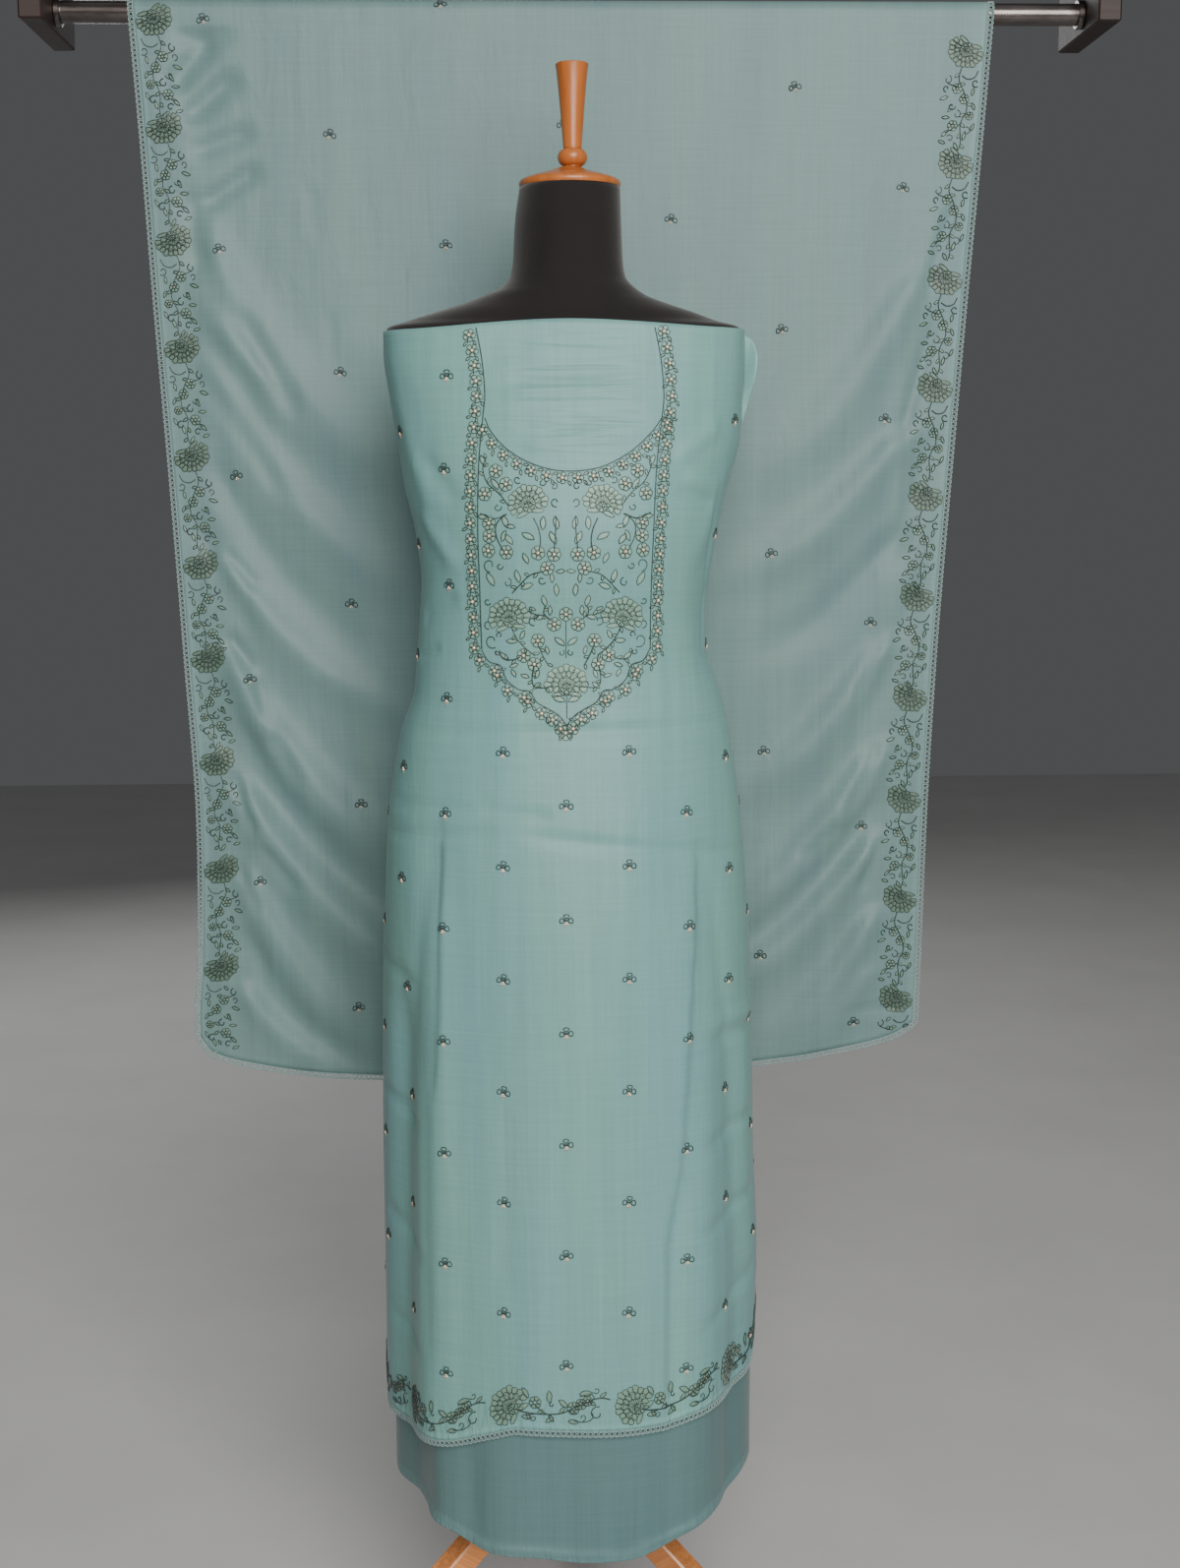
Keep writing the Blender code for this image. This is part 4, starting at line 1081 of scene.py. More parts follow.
def dupattaCloth():
    facts, across = dupattaFacts, dupattaColumns()
    rows, uv, hem = [], [], []

    def placeAt(stretch, height):
        left, right = dupattaBorders(stretch, height)
        return (left + right) / 2 + across * (right - left) / 2

    def addRow(stretch, heights, points, drop):
        left, right = dupattaBorders(stretch, heights)
        rows.append(points)
        uv.append(stacked(placeAt(stretch, heights), drop))
        low = curveThrough(facts["hem"][stretch], across)
        side = (1 - np.abs(across)) * (right - left) / 2
        hem.append(smoothStep(1 - (np.minimum(heights - low, side) - facts["hemBand"]) / 0.002))

    for stretch, order in (("front", -1), ("back", 1)):
        low = curveThrough(facts["hem"][stretch], across)
        count = facts[stretch + "Rows"]
        falls = np.linspace(1, 0, count, endpoint=False) if order < 0 else np.linspace(0, 1, count + 1)[1:]
        if order > 0:
            for angle in np.linspace(-90, 90, 2 * facts["rodRows"] + 1):
                t = math.radians(angle)
                height = rodFacts["z"] + facts["outer"] * math.cos(t)
                x = placeAt("front" if angle < 0 else "back", height) + formAxis[0]
                y = rodFacts["y"] + facts["outer"] * math.sin(t)
                points = stacked(x, y, height)
                addRow("front", np.full_like(across, height), points, facts["outer"] * t)
        for fall in falls:
            heights = rodFacts["z"] - (rodFacts["z"] - low) * fall
            drop = (rodFacts["z"] - heights + facts["outer"] * math.pi / 2) * order
            addRow(stretch, heights, dupattaPoint(stretch, placeAt(stretch, heights), heights), drop)
    # rows run up the front, over the rod and down behind, so the faces are turned over to look outwards
    fields = {"hem": np.array(hem), "pucker": np.array(hem) * 0}
    grid = np.array(rows)
    piece = clothPiece("dupattaCloth", grid, np.array(uv), finishes["dupatta"], facts["wall"], fields, flip=True)
    return piece, DrawnCloth(grid, flip=True)


dupatta, dupattaDrawn = dupattaCloth()
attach(dupatta, "root")
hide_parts("dupatta_front", "dupatta_back")
print("dupatta hung", len(dupatta.data.polygons))

# Motifs are drawn flat with complex numbers, in metres: real is across, imaginary is up. Each is a list of
# ("line", points, closed, girth, kind, lift), ("fill", points, kind, lift) and ("bead", point, size).

# Tone of each kind of stitch by where it is worked, from dark to pale, then the thread's and the beads' size
threadTones = {
    "yoke": {"cord": 0.0, "small": 0.06, "bloom": 0.2, "pink": 1.0, "smallFill": 0.94, "bloomFill": 0.88,
             "girth": 1.08, "bead": 1.0},
    "hem": {"cord": 0.0, "small": 0.02, "bloom": 0.0, "pink": 1.0, "smallFill": 0.7, "bloomFill": 0.72,
            "girth": 1.1, "bead": 0.7},
    "dupatta": {"cord": 0.0, "small": 0.0, "bloom": 0.0, "pink": 0.9, "smallFill": 0.68, "bloomFill": 0.38,
                "girth": 1.22, "bead": 0.75},
}


def worked(items, place):
    tones = threadTones[place]
    out = []
    for item in items:
        if item[0] == "line":
            out.append((*item[:3], item[3] * tones["girth"], tones[item[4]], item[5]))
        elif item[0] == "bead":
            out.append((*item[:2], item[2] * tones["bead"]))
        else:
            out.append(("fill", item[1], tones[item[2]], item[3]))
    return out


def clockwise(turn):  # from upright, in degrees
    return np.exp(-1j * math.radians(turn))


def bearing(way):
    return math.degrees(math.atan2(way.real, way.imag))


def moved(items, at=0j, turn=0.0, size=1.0, flip=False):
    spin = size * clockwise(turn)
    out = []
    for item in items:
        points = np.asarray(item[1])
        points = (-np.conj(points) if flip else points) * spin + at
        if item[0] == "line":  # a larger motif's thread gets only a little thicker
            out.append(("line", points, item[2], item[3] * min(size, 1.15), *item[4:]))
        else:
            out.append((item[0], points, *item[2:]))
    return out


def smoothLine(points, perSpan=5):  # a Catmull-Rom curve through the points
    p = np.array([complex(*q) if isinstance(q, tuple) else q for q in points])
    p = np.concatenate([[2 * p[0] - p[1]], p, [2 * p[-1] - p[-2]]])
    out = []
    for k in range(1, len(p) - 2):
        for s in np.linspace(0, 1, perSpan, endpoint=False):
            a, b, c, d = p[k - 1 : k + 3]
            bend, twist = 2 * a - 5 * b + 4 * c - d, 3 * b - a - 3 * c + d
            out.append(0.5 * (2 * b + (c - a) * s + bend * s**2 + twist * s**3))
    return np.array([*out, p[-2]])


def threadLine(points, girth=1.0, kind="small", closed=False, lift=0.0):
    return ("line", np.asarray(points), closed, girth, kind, lift)


def vine(points, girth=1.0, kind="small"):
    return [threadLine(smoothLine(points), girth, kind)]


def leafyVine(points, spacing, length, girth=1.0, kind="small"):  # leaves to either side by turns
    out = vine(points, girth, kind)
    for k, (place, way) in enumerate(zip(*alongPath(points, spacing, spacing * 0.6))):
        turn = bearing(way) + (48 if k % 2 else -48)
        out += moved(leaf(length * (1 + 0.15 * math.sin(5 * k)), length * 0.42), place, turn)
    return out


def petal(length, width, belly=0.62, count=8):  # from its base at nought, upwards
    t = np.linspace(0, 2 * math.pi, count, endpoint=False)
    up = (1 - np.cos(t)) / 2
    wide = np.sin(t) * (1 - belly + 2 * belly * up) * 0.62
    return width * wide + 1j * length * up


def flower(radius, petals=6, bead=0.0019):
    shape = petal(radius * 0.74, radius * 0.6)
    one = moved([("fill", shape, "smallFill", 0.0), threadLine(shape, 0.95, closed=True)], 1j * radius * 0.26)
    out = []
    for k in range(petals):
        out += moved(one, turn=360 / petals * k)
    return [*out, ("bead", 0j, bead)]


def leaf(length, width, bend=0.12):
    t = np.linspace(0, 1, 6)
    side = width / 2 * np.sin(math.pi * t) ** 0.8
    spine = bend * length * np.sin(math.pi * t / 2) ** 2
    right = spine + side + 1j * length * t
    left = spine - side + 1j * length * t
    outline = np.concatenate([right, left[-2:0:-1]])
    centre = outline.mean()
    return [("fill", centre + (outline - centre) * 0.8, "smallFill", 0.0), threadLine(outline, closed=True)]


def curl(radius):
    t = np.linspace(0, 1, 11)
    spiral = radius * (1 - 0.62 * t) * np.exp(1j * (math.pi * 1.65 * t - math.pi / 2))
    return [threadLine(spiral, 1.1)]


def stripUnit(radius, side):  # a flower with two small leaves beyond it
    out = flower(radius, 5, 0.002)
    out += moved(leaf(0.0062, 0.0028, 0.2), side * 0.003 + 0.0058j, 38 * side)
    out += moved(leaf(0.0056, 0.0026, 0.2), -side * 0.0028 + 0.0062j, -40 * side)
    return out


bloomFacts = {  # tiers from the outside in: petals, half spread in degrees, foot, length, width
    "tiers": ((13, 106, 0.0132, 0.0098, 0.0052), (10, 112, 0.0074, 0.0088, 0.0058), (7, 118, 0.0018, 0.0078, 0.0058)),
    # petals all round below the middle: count, foot, length, width, place
    "heart": (5, 0.0004, 0.0056, 0.0046, -0.0046),
    "sepal": (0.0165, 0.0042, 104),  # length, width, turn outwards
    "sepalFoot": -0.0085,
    "girth": 0.78,
    "rise": 0.00012,  # how much higher each tier lies than the one outside it
}


def bloom(squash=0.92):  # squash below one makes it wide rather than tall
    facts, shapes = bloomFacts, []
    length, width, out = facts["sepal"]
    for turn in (-out, out):
        shapes.append((petal(length, width, 0.2) * clockwise(turn) + 1j * facts["sepalFoot"], 0))
    for tier, (count, spread, foot, length, width) in enumerate(facts["tiers"]):
        for k, turn in enumerate(np.linspace(-spread, spread, count)):
            reach = length * (1 + 0.12 * math.sin(2.3 * k + tier)) * (1 - 0.22 * max(0, abs(turn) - 90) / 30)
            shapes.append(((petal(reach, width) + 1j * foot) * clockwise(turn), tier + 1))
    count, foot, length, width, low = facts["heart"]
    for k in range(count):
        shapes.append(((petal(length, width) + 1j * foot) * np.exp(2j * math.pi * (k + 0.5) / count) + 1j * low, 4))
    items = []
    for shape, tier in shapes:
        shape = shape.real + 1j * shape.imag * squash
        lift = facts["rise"] * tier
        items += [("fill", shape, "bloomFill", lift), threadLine(shape, facts["girth"], "bloom", True, lift + 0.0001)]
    return items


butiFacts = {
    "loops": ((-74, 0.0058, 0.005, 0.0026), (3, 0.0048, 0.0056, 0.0044), (76, 0.0062, 0.0052, 0.0026)),
    "loopsFoot": -0.0014j,
    # paths, girths and kinds of the two commas, the short middle stitch and the pink tail
    "stitches": (
        ((-0.003 + 0.003j, -0.0022 + 0.0008j, -0.0004 - 0.0006j), 1.7, "cord"),
        ((0.003 + 0.003j, 0.0022 + 0.0008j, 0.0004 - 0.0006j), 1.7, "cord"),
        ((0.0026j, -0.0004j), 1.6, "cord"),
        ((-0.001j, -0.0044j, 0.0004 - 0.0085j), 0.8, "pink"),
    ),
    "beads": ((-0.0022j, 0.0014), (-0.0014 - 0.0042j, 0.0011), (0.0014 - 0.004j, 0.0011)),
    "size": 0.86,
}


def buti():  # a small sprig: three loops and two commas over a beaded stem
    out = []
    for turn, length, width, foot in butiFacts["loops"]:
        shape = (petal(length, width, 0.35) + 1j * foot) * clockwise(turn) + butiFacts["loopsFoot"]
        out.append(threadLine(shape, 1.45, "cord", closed=True))
    out += [threadLine(*stitches) for stitches in butiFacts["stitches"]]
    return [*out, *(("bead", place, size) for place, size in butiFacts["beads"])]


def alongPath(points, spacing, start=0.0):  # places and directions at equal spacing
    line = smoothLine(points, 12)
    run = runOf(np.abs(np.diff(line)))
    at = np.arange(start, run[-1], spacing)
    place = np.interp(at, run, line.real) + 1j * np.interp(at, run, line.imag)
    ahead = np.interp(at + 0.001, run, line.real) + 1j * np.interp(at + 0.001, run, line.imag) - place
    return place, ahead / np.maximum(np.abs(ahead), 1e-9)


yokeFacts = {
    "leftCord": (
        (-0.0948, 1.512), (-0.0891, 1.48), (-0.0865, 1.445), (-0.089, 1.42), (-0.0941, 1.375), (-0.0974, 1.305),
        (-0.0966, 1.244), (-0.0946, 1.182),
    ),
    "rightCord": (
        (0.0903, 1.512), (0.0962, 1.48), (0.0991, 1.444), (0.0968, 1.419), (0.0913, 1.374), (0.0882, 1.304),
        (0.0866, 1.2425), (0.0858, 1.18),
    ),
    "neckArc": (
        (-0.0869, 1.42), (-0.0799, 1.405), (-0.0617, 1.386), (-0.0345, 1.3715), (-0.0043, 1.3654), (0.031, 1.369),
        (0.0619, 1.384), (0.085, 1.404), (0.0968, 1.419),
    ),
    # half of the scalloped foot, from its side to its point, measured from the middle
    "foot": (
        (0.0902, 1.181), (0.082, 1.169), (0.069, 1.1646), (0.063, 1.1503), (0.05, 1.1402), (0.0385, 1.1382),
        (0.0312, 1.127), (0.019, 1.12), (0.008, 1.113), (0.0, 1.103),
    ),
    "sideFlowers": (0.0162, 0.006, 0.0085),
    "middle": -0.0046,
    "middleAbove": 0.004,  # where the middle leans to, up at the neck
    # place from the middle, height, turn outwards, size
    "blooms": ((0.0595, 1.215, 8, 1.0), (0.0385, 1.3325, 14, 0.92)),
    "flowers": (
        (0.0445, 1.1757), (0.0334, 1.1667), (0.0295, 1.1914), (0.0124, 1.2085), (0.0287, 1.2826), (0.0121, 1.2811),
        (0.0192, 1.2669), (0.08, 1.2998), (0.0812, 1.2848), (0.0618, 1.2833), (0.0615, 1.3524), (0.0733, 1.3659),
        (0.0838, 1.3427), (0.08, 1.313),
    ),
    # place, height, turn outwards, length
    "leaves": (
        (0.0453, 1.1966, -35, 0.0095), (0.056, 1.1915, 80, 0.011), (0.0192, 1.181, 5, 0.0085),
        (0.064, 1.1745, 40, 0.011), (0.0545, 1.166, 100, 0.009), (0.0303, 1.1555, -35, 0.009),
        (0.0311, 1.1435, -60, 0.009), (0.0425, 1.1547, 65, 0.0085), (0.0545, 1.157, 20, 0.0085),
        (0.007, 1.131, 58, 0.013), (0.004, 1.137, 38, 0.0085), (0.0055, 1.1905, 42, 0.012),
        (0.0216, 1.2325, 8, 0.011), (0.0262, 1.2165, 90, 0.01), (0.016, 1.2225, -10, 0.0095),
        (0.0342, 1.225, 60, 0.007), (0.0405, 1.2766, 18, 0.011), (0.0492, 1.2579, 8, 0.0125),
        (0.041, 1.2474, -80, 0.0125), (0.006, 1.2631, -95, 0.0085), (0.015, 1.2575, 175, 0.009),
        (0.0106, 1.2452, 175, 0.0115), (0.0781, 1.2549, 22, 0.0145), (0.06, 1.2968, -150, 0.012),
        (0.0225, 1.312, -12, 0.0125), (0.0375, 1.3, 55, 0.013), (0.0088, 1.3125, 3, 0.012),
        (0.012, 1.2975, 18, 0.013), (0.0718, 1.3524, 25, 0.012), (0.0615, 1.314, 10, 0.0125),
        (0.064, 1.299, -30, 0.011), (0.0852, 1.32, 75, 0.011), (0.056, 1.31, 70, 0.009), (0.087, 1.376, 15, 0.011),
    ),
    # place, height, radius, turn
    "curls": (
        (0.0784, 1.1906, 0.008, 30), (0.07, 1.1968, 0.0036, -60), (0.0823, 1.2078, 0.005, 10),
        (0.005, 1.1786, 0.0036, 150), (0.0345, 1.212, 0.005, 20), (0.0248, 1.2545, 0.0046, 60),
        (0.061, 1.2519, 0.005, 170), (0.08, 1.27, 0.0075, 0), (0.069, 1.269, 0.004, 90),
        (0.0702, 1.3292, 0.0042, 100), (0.0497, 1.357, 0.0042, 40), (0.0118, 1.35, 0.0042, 200),
        (0.0105, 1.334, 0.005, 20), (0.024, 1.354, 0.004, 120), (0.083, 1.232, 0.004, 60),
        (0.073, 1.179, 0.0038, 120), (0.04, 1.366, 0.0034, 0),
    ),
    "vines": (
        ((0.0595, 1.21), (0.0516, 1.1936), (0.042, 1.183), (0.0326, 1.1757)),
        ((0.0295, 1.188), (0.0245, 1.176), (0.0185, 1.1652)),
        ((0.0484, 1.1742), (0.0563, 1.1712), (0.0658, 1.1727), (0.0713, 1.18)),
        ((0.0334, 1.1637), (0.0358, 1.1547), (0.0342, 1.1442), (0.0248, 1.142), (0.015, 1.144)),
        ((0.024, 1.2635), (0.0374, 1.2594), (0.05, 1.2474), (0.056, 1.241)),
        ((0.033, 1.318), (0.0276, 1.306), (0.026, 1.293), (0.0287, 1.2826)),
        ((0.0121, 1.287), (0.0105, 1.304), (0.01, 1.32)),
        ((0.058, 1.33), (0.0686, 1.3434), (0.0812, 1.354), (0.0872, 1.369), (0.0845, 1.381)),
        ((0.0891, 1.323), (0.075, 1.3173), (0.06, 1.322)),
        ((0.062, 1.322), (0.0718, 1.312), (0.0718, 1.2986), (0.064, 1.2836)),
        ((0.015, 1.212), (0.023, 1.22), (0.0216, 1.228)), ((0.023, 1.218), (0.032, 1.219), (0.039, 1.223)),
    ),
    "bareVines": (5, 6, 8, 9),
    "stems": ((1.11, 1.1413), (1.173, 1.212)),  # heights from and to, on the middle
    "footBloom": 1.145,
    "middleFlowers": ((0.0, 1.219, 0.0072), (-0.0014, 1.095, 0.0078)),
    "leafSize": (1.12, 0.46),  # how much longer than listed, and their width for each metre of it
    "footFlowers": (0.0146, 0.008, 0.0074),  # spacing, start and distance from the cord
    "arcFlowers": (0.0153, 0.01, -0.007),
    "cordFlower": (0.0066, 14),  # radius and swing of the flowers beside the cords
    "arcFlower": (0.006, 0),
    "flowerRadius": 0.0072,
    "flowerTurn": 17,
    "vineLeaves": (0.009, 0.0066),  # spacing and length
    "vineGirth": 1.25,
    "leans": (1.34, 0.09),  # from this height up, over this much
}


def yokeMiddle(height):
    low, over = yokeFacts["leans"]
    lean = float(smoothStep((height - low) / over))
    return yokeFacts["middle"] + (yokeFacts["middleAbove"] - yokeFacts["middle"]) * lean


def edgedCord(line, flowers, side, radius, swing):  # a cord with flowers beside it, that face left and right by turns
    spacing, start, offset = flowers
    out = vine(line, 1.2, "cord")
    for k, (place, way) in enumerate(zip(*alongPath(line, spacing, start))):
        facing = side * (1 if k % 2 else -1)
        turn = bearing(way) + swing * math.sin(9 * k)
        out += moved(stripUnit(radius, facing), place + way * 1j * side * offset, turn)
    return out


def yokeWork():
    facts, out = yokeFacts, []
    longer, wide = facts["leafSize"]
    for side in (-1, 1):
        flip = side < 0

        def at(s, height):
            return complex(yokeMiddle(height) + side * s, height)

        for s, height, turn, size in facts["blooms"]:
            out += moved(bloom(), at(s, height), side * turn, size, flip)
        for k, (s, height) in enumerate(facts["flowers"]):
            out += moved(flower(facts["flowerRadius"]), at(s, height), side * facts["flowerTurn"] * k)
        for s, height, turn, length in facts["leaves"]:
            base = at(s, height) - 1j * length / 2 * clockwise(side * turn)
            out += moved(leaf(length * longer, length * wide), base, side * turn, 1, flip)
        for s, height, radius, turn in facts["curls"]:
            out += moved(curl(radius), at(s, height), side * turn, 1, flip)
        for k, points in enumerate(facts["vines"]):
            path = [at(s, height) for s, height in points]
            bare, girth = k in facts["bareVines"], facts["vineGirth"]
            out += vine(path, girth) if bare else leafyVine(path, *facts["vineLeaves"], girth)
        foot = [at(s, height) for s, height in facts["foot"]]
        cord = [complex(*p) for p in facts["leftCord" if side < 0 else "rightCord"]]
        out += edgedCord(foot, facts["footFlowers"], side, *facts["cordFlower"])
        out += edgedCord(cord, facts["sideFlowers"], side, *facts["cordFlower"])
    out += edgedCord([complex(*p) for p in facts["neckArc"]], facts["arcFlowers"], 1, *facts["arcFlower"])
    middle = facts["middle"]
    out += moved(bloom(), complex(middle, facts["footBloom"]))
    for s, height, radius in facts["middleFlowers"]:
        out += moved(flower(radius), complex(middle + s, height))
    for heights in facts["stems"]:
        out += vine([complex(middle, height) for height in heights])
    return out


hemBorderFacts = {
    "pitch": 0.136,
    "first": -0.0878,
    "above": 0.034,  # the bloom's middle over the cloth's edge
    "bloom": (0.015, -0.0085, -52, 0.94),  # across, up, turn, size
    "leafSize": (1.16, 0.44),
    "flowerSize": (1.14, 0.0009, 20),  # how much larger than listed, bead, turn
    "vineGirth": 1.25,
    "stemLeaves": (0.0118, 0.0088, 1.6),  # spacing, length and girth
    "stem": (
        (0.015, -0.009), (0.026, -0.014), (0.048, -0.016), (0.07, -0.0145), (0.086, -0.007), (0.104, 0.001),
        (0.1145, 0.0025), (0.1225, 0.001),
    ),
    "leaves": (
        (0.031, 0.006, -42, 0.011), (0.0565, 0.003, -10, 0.0115), (0.072, -0.0045, -62, 0.011),
        (0.0965, 0.0085, 75, 0.0125), (0.033, -0.0205, -95, 0.01), (0.057, -0.0215, 50, 0.009),
        (0.083, -0.0225, 85, 0.01),
    ),
    "curls": (
        (0.04, -0.0205, 0.0036, 90), (0.06, -0.005, 0.003, 180), (0.108, 0.011, 0.0038, 60),
        (0.093, -0.0185, 0.0038, 0), (0.1085, -0.014, 0.008, 200),
    ),
    "flowers": ((0.042, -0.0035, 0.0058), (0.083, -0.0085, 0.006), (0.0915, -0.004, 0.0052),
                (0.0985, -0.0005, 0.0048)),
    "vines": (
        ((0.042, -0.006), (0.048, -0.012), (0.054, -0.0155)), ((0.033, -0.018), (0.039, -0.0165), (0.042, -0.0155)),
        ((0.057, -0.0185), (0.06, -0.0155)), ((0.083, -0.0225), (0.095, -0.0235), (0.103, -0.02), (0.104, -0.014)),
        ((0.09, 0.004), (0.102, 0.007), (0.106, 0.002)),
    ),
}


def borderBloom(facts, squash):
    s, up, turn, size = facts["bloom"]
    return moved(bloom(squash), complex(s, up), turn, size)


def leavesAndCurls(facts):
    longer, wide = facts["leafSize"]
    out = []
    for s, up, turn, length in facts["leaves"]:
        length *= longer
        out += moved(leaf(length, length * wide), complex(s, up) - 1j * length / 2 * clockwise(turn), turn)
    for s, up, radius, turn in facts["curls"]:
        out += moved(curl(radius), complex(s, up), turn)
    return out


def smallFlowers(facts):
    larger, bead, turn = facts["flowerSize"]
    out = []
    for s, up, radius in facts["flowers"]:
        out += moved(flower(radius * larger, bead=bead), complex(s, up), turn)
    return out


def hemBorderWork():  # laid along the hem: across as it is, up measured from the cloth's edge
    facts, out = hemBorderFacts, []
    unit = borderBloom(facts, 1.12) + leafyVine(facts["stem"], *facts["stemLeaves"], "cord")
    unit += leavesAndCurls(facts) + smallFlowers(facts)
    for points in facts["vines"]:
        unit += vine(points, facts["vineGirth"])
    for k in range(-5, 6):
        out += moved(unit, complex(facts["first"] + facts["pitch"] * k, facts["above"]))
    return out


sprigFacts = {  # columns of sprigs round the kameez: their place across at the waist and at the hem
    "pitch": 0.118,
    "middle": (-0.006, -0.012),
    "spacing": 0.0665,
    "wider": 0.012,  # share that the spacing gains by the hem
    "firstEven": 1.0196,
    "firstOdd": 1.0758,
    "foot": 0.405,
    "waist": 1.05,
    "waistToHem": 0.62,
    "alone": (-0.127, 1.463),  # across and height of the one out of step
    "sideTop": 1.485,  # the outer columns start this high, beside the yoke
    # how far the rows sag away from the middle, and how much more towards the foot
    "sag": {-3: (0.024, 0.004), -2: (0.011, 0.01), -1: (0.002, 0.0), 0: (0.0, 0.0),
            1: (0.0015, 0.0), 2: (0.0115, 0.006), 3: (0.0165, 0.008)},
}


def sprigPlaces():
    facts, places = sprigFacts, [sprigFacts["alone"]]
    for k in range(-9, 10):
        first = facts["firstOdd"] if k % 2 else facts["firstEven"]
        sag, more = facts["sag"][int(np.sign(k)) * min(abs(k), 3)]
        for row in range(-5, 7):
            height = first - facts["pitch"] * row
            s = (facts["waist"] - height) / facts["waistToHem"]
            middle = facts["middle"][0] + (facts["middle"][1] - facts["middle"][0]) * s
            across = middle + k * facts["spacing"] * (1 + facts["wider"] * s)
            height -= sag + more * s
            onYoke = row < 0 and abs(k) < (2 if k < 0 else 3)
            if onYoke or not facts["foot"] <= height <= facts["sideTop"]:
                continue
            if abs(across) < clothAcross.acrossAt(math.pi, height) - 0.01:
                places.append((across, height))
    return places


def layOnKameez(turn, height, lift):
    top, low = (edgeHeight(kameezFacts[edge], turn) for edge in ("topEdge", "hem"))
    column = np.interp(turn, kameezTurns, np.arange(len(kameezTurns)))
    return kameezDrawn.at((top - height) / (top - low) * (kameezFacts["rows"] - 1), column, lift)


def onKameez(points, lift):  # points: across and height
    return layOnKameez(clothAcross.turnAt(points.real, points.imag), points.imag, lift)


def onKameezHem(points, lift):  # points: across, and height over the cloth's edge
    height = points.imag
    for _ in range(4):  # the edge's height depends on the turn, and the turn on the height
        turn = clothAcross.turnAt(points.real, height)
        height = edgeHeight(kameezFacts["hem"], turn) + points.imag
    return layOnKameez(turn, height, lift)


def onDupatta(stretch, side, points, lift):  # points: distance in from a border, and drop below the rod's top
    facts = dupattaFacts
    inward, drop = points.real, points.imag
    quarter = facts["outer"] * math.pi / 2
    fallen = np.maximum(drop - quarter, 0)
    left, right = dupattaBorders(stretch, rodFacts["z"] - fallen)
    x = left + inward if side < 0 else right - inward
    u = 2 * (x - left) / (right - left) - 1
    column = np.interp(u, dupattaColumns(), np.arange(facts["columns"]))
    fall = fallen / (rodFacts["z"] - curveThrough(facts["hem"][stretch], u))
    over = np.clip(drop / quarter, -1, 1) * facts["rodRows"]
    middle = facts["frontRows"] + facts["rodRows"]
    if stretch == "front":
        row = middle - over - fall * facts["frontRows"]
    else:
        row = middle + over + fall * facts["backRows"]
    return dupattaDrawn.at(row, column, lift)


threadFacts = {
    "radius": 0.00052,
    "sides": 3,
    "fillLift": 0.0003,
    "clear": 0.00016,
    "beadFlat": 0.72,
}


def threadTree():
    tree = bpy.data.node_groups.new("threadWork", "GeometryNodeTree")
    sockets = {}
    for name, kind, start in (("Path", "Geometry", None), ("Thread radius", "Float", 0.0005),
                              ("Thread sides", "Int", 4), ("Unit", "Object", None), ("Finish", "Material", None)):
        socket = tree.interface.new_socket(name, in_out="INPUT", socket_type="NodeSocket" + kind)
        if start is not None:
            socket.default_value = start
        sockets[name] = socket.identifier
    tree.interface.new_socket("Mesh", in_out="OUTPUT", socket_type="NodeSocketGeometry")

    def add(kind, **settings):
        node = tree.nodes.new(kind)
        for key, value in settings.items():
            setattr(node, key, value)
        return node

    def named(name, kind="FLOAT"):
        node = add("GeometryNodeInputNamedAttribute", data_type=kind)
        node.inputs["Name"].default_value = name
        return node

    start, end = add("NodeGroupInput"), add("NodeGroupOutput")
    girth, size = named("girth"), named("unitSize")
    along, facing = named("along", "FLOAT_VECTOR"), named("facing", "FLOAT_VECTOR")
    toCurve, sweep = add("GeometryNodeMeshToCurve"), add("GeometryNodeCurveToMesh")
    sweep.inputs["Fill Caps"].default_value = True
    ring, unit = add("GeometryNodeCurvePrimitiveCircle"), add("GeometryNodeObjectInfo")
    place = add("GeometryNodeInstanceOnPoints")
    chosen = add("FunctionNodeCompare", data_type="FLOAT", operation="GREATER_THAN")
    chosen.inputs[1].default_value = 0.0001
    turn = add("FunctionNodeAxesToRotation", primary_axis="X", secondary_axis="Z")
    both, real = add("GeometryNodeJoinGeometry"), add("GeometryNodeRealizeInstances")
    smooth, paint = add("GeometryNodeSetShadeSmooth"), add("GeometryNodeSetMaterial")
    for source, output, target, entry in (
        # the thread, swept along each path
        (start, "Path", toCurve, 0),
        (start, "Thread sides", ring, "Resolution"),
        (start, "Thread radius", ring, "Radius"),
        (toCurve, 0, sweep, "Curve"),
        (ring, "Curve", sweep, "Profile Curve"),
        (girth, "Attribute", sweep, "Scale"),
        # the beads or rings, one on each point that has a size
        (start, "Unit", unit, "Object"),
        (size, "Attribute", chosen, 0),
        (along, "Attribute", turn, 0),
        (facing, "Attribute", turn, 1),
        (start, "Path", place, "Points"),
        (chosen, 0, place, "Selection"),
        (unit, "Geometry", place, "Instance"),
        (turn, 0, place, "Rotation"),
        (size, "Attribute", place, "Scale"),
        # both together
        (sweep, 0, both, 0),
        (place, 0, both, 0),
        (both, 0, smooth, 0),
        (smooth, 0, real, 0),
        (real, 0, paint, "Geometry"),
        (start, "Finish", paint, "Material"),
        (paint, 0, end, 0),
    ):
        tree.links.new(source.outputs[output], target.inputs[entry])
    return tree, sockets


threadGroup, threadSockets = threadTree()


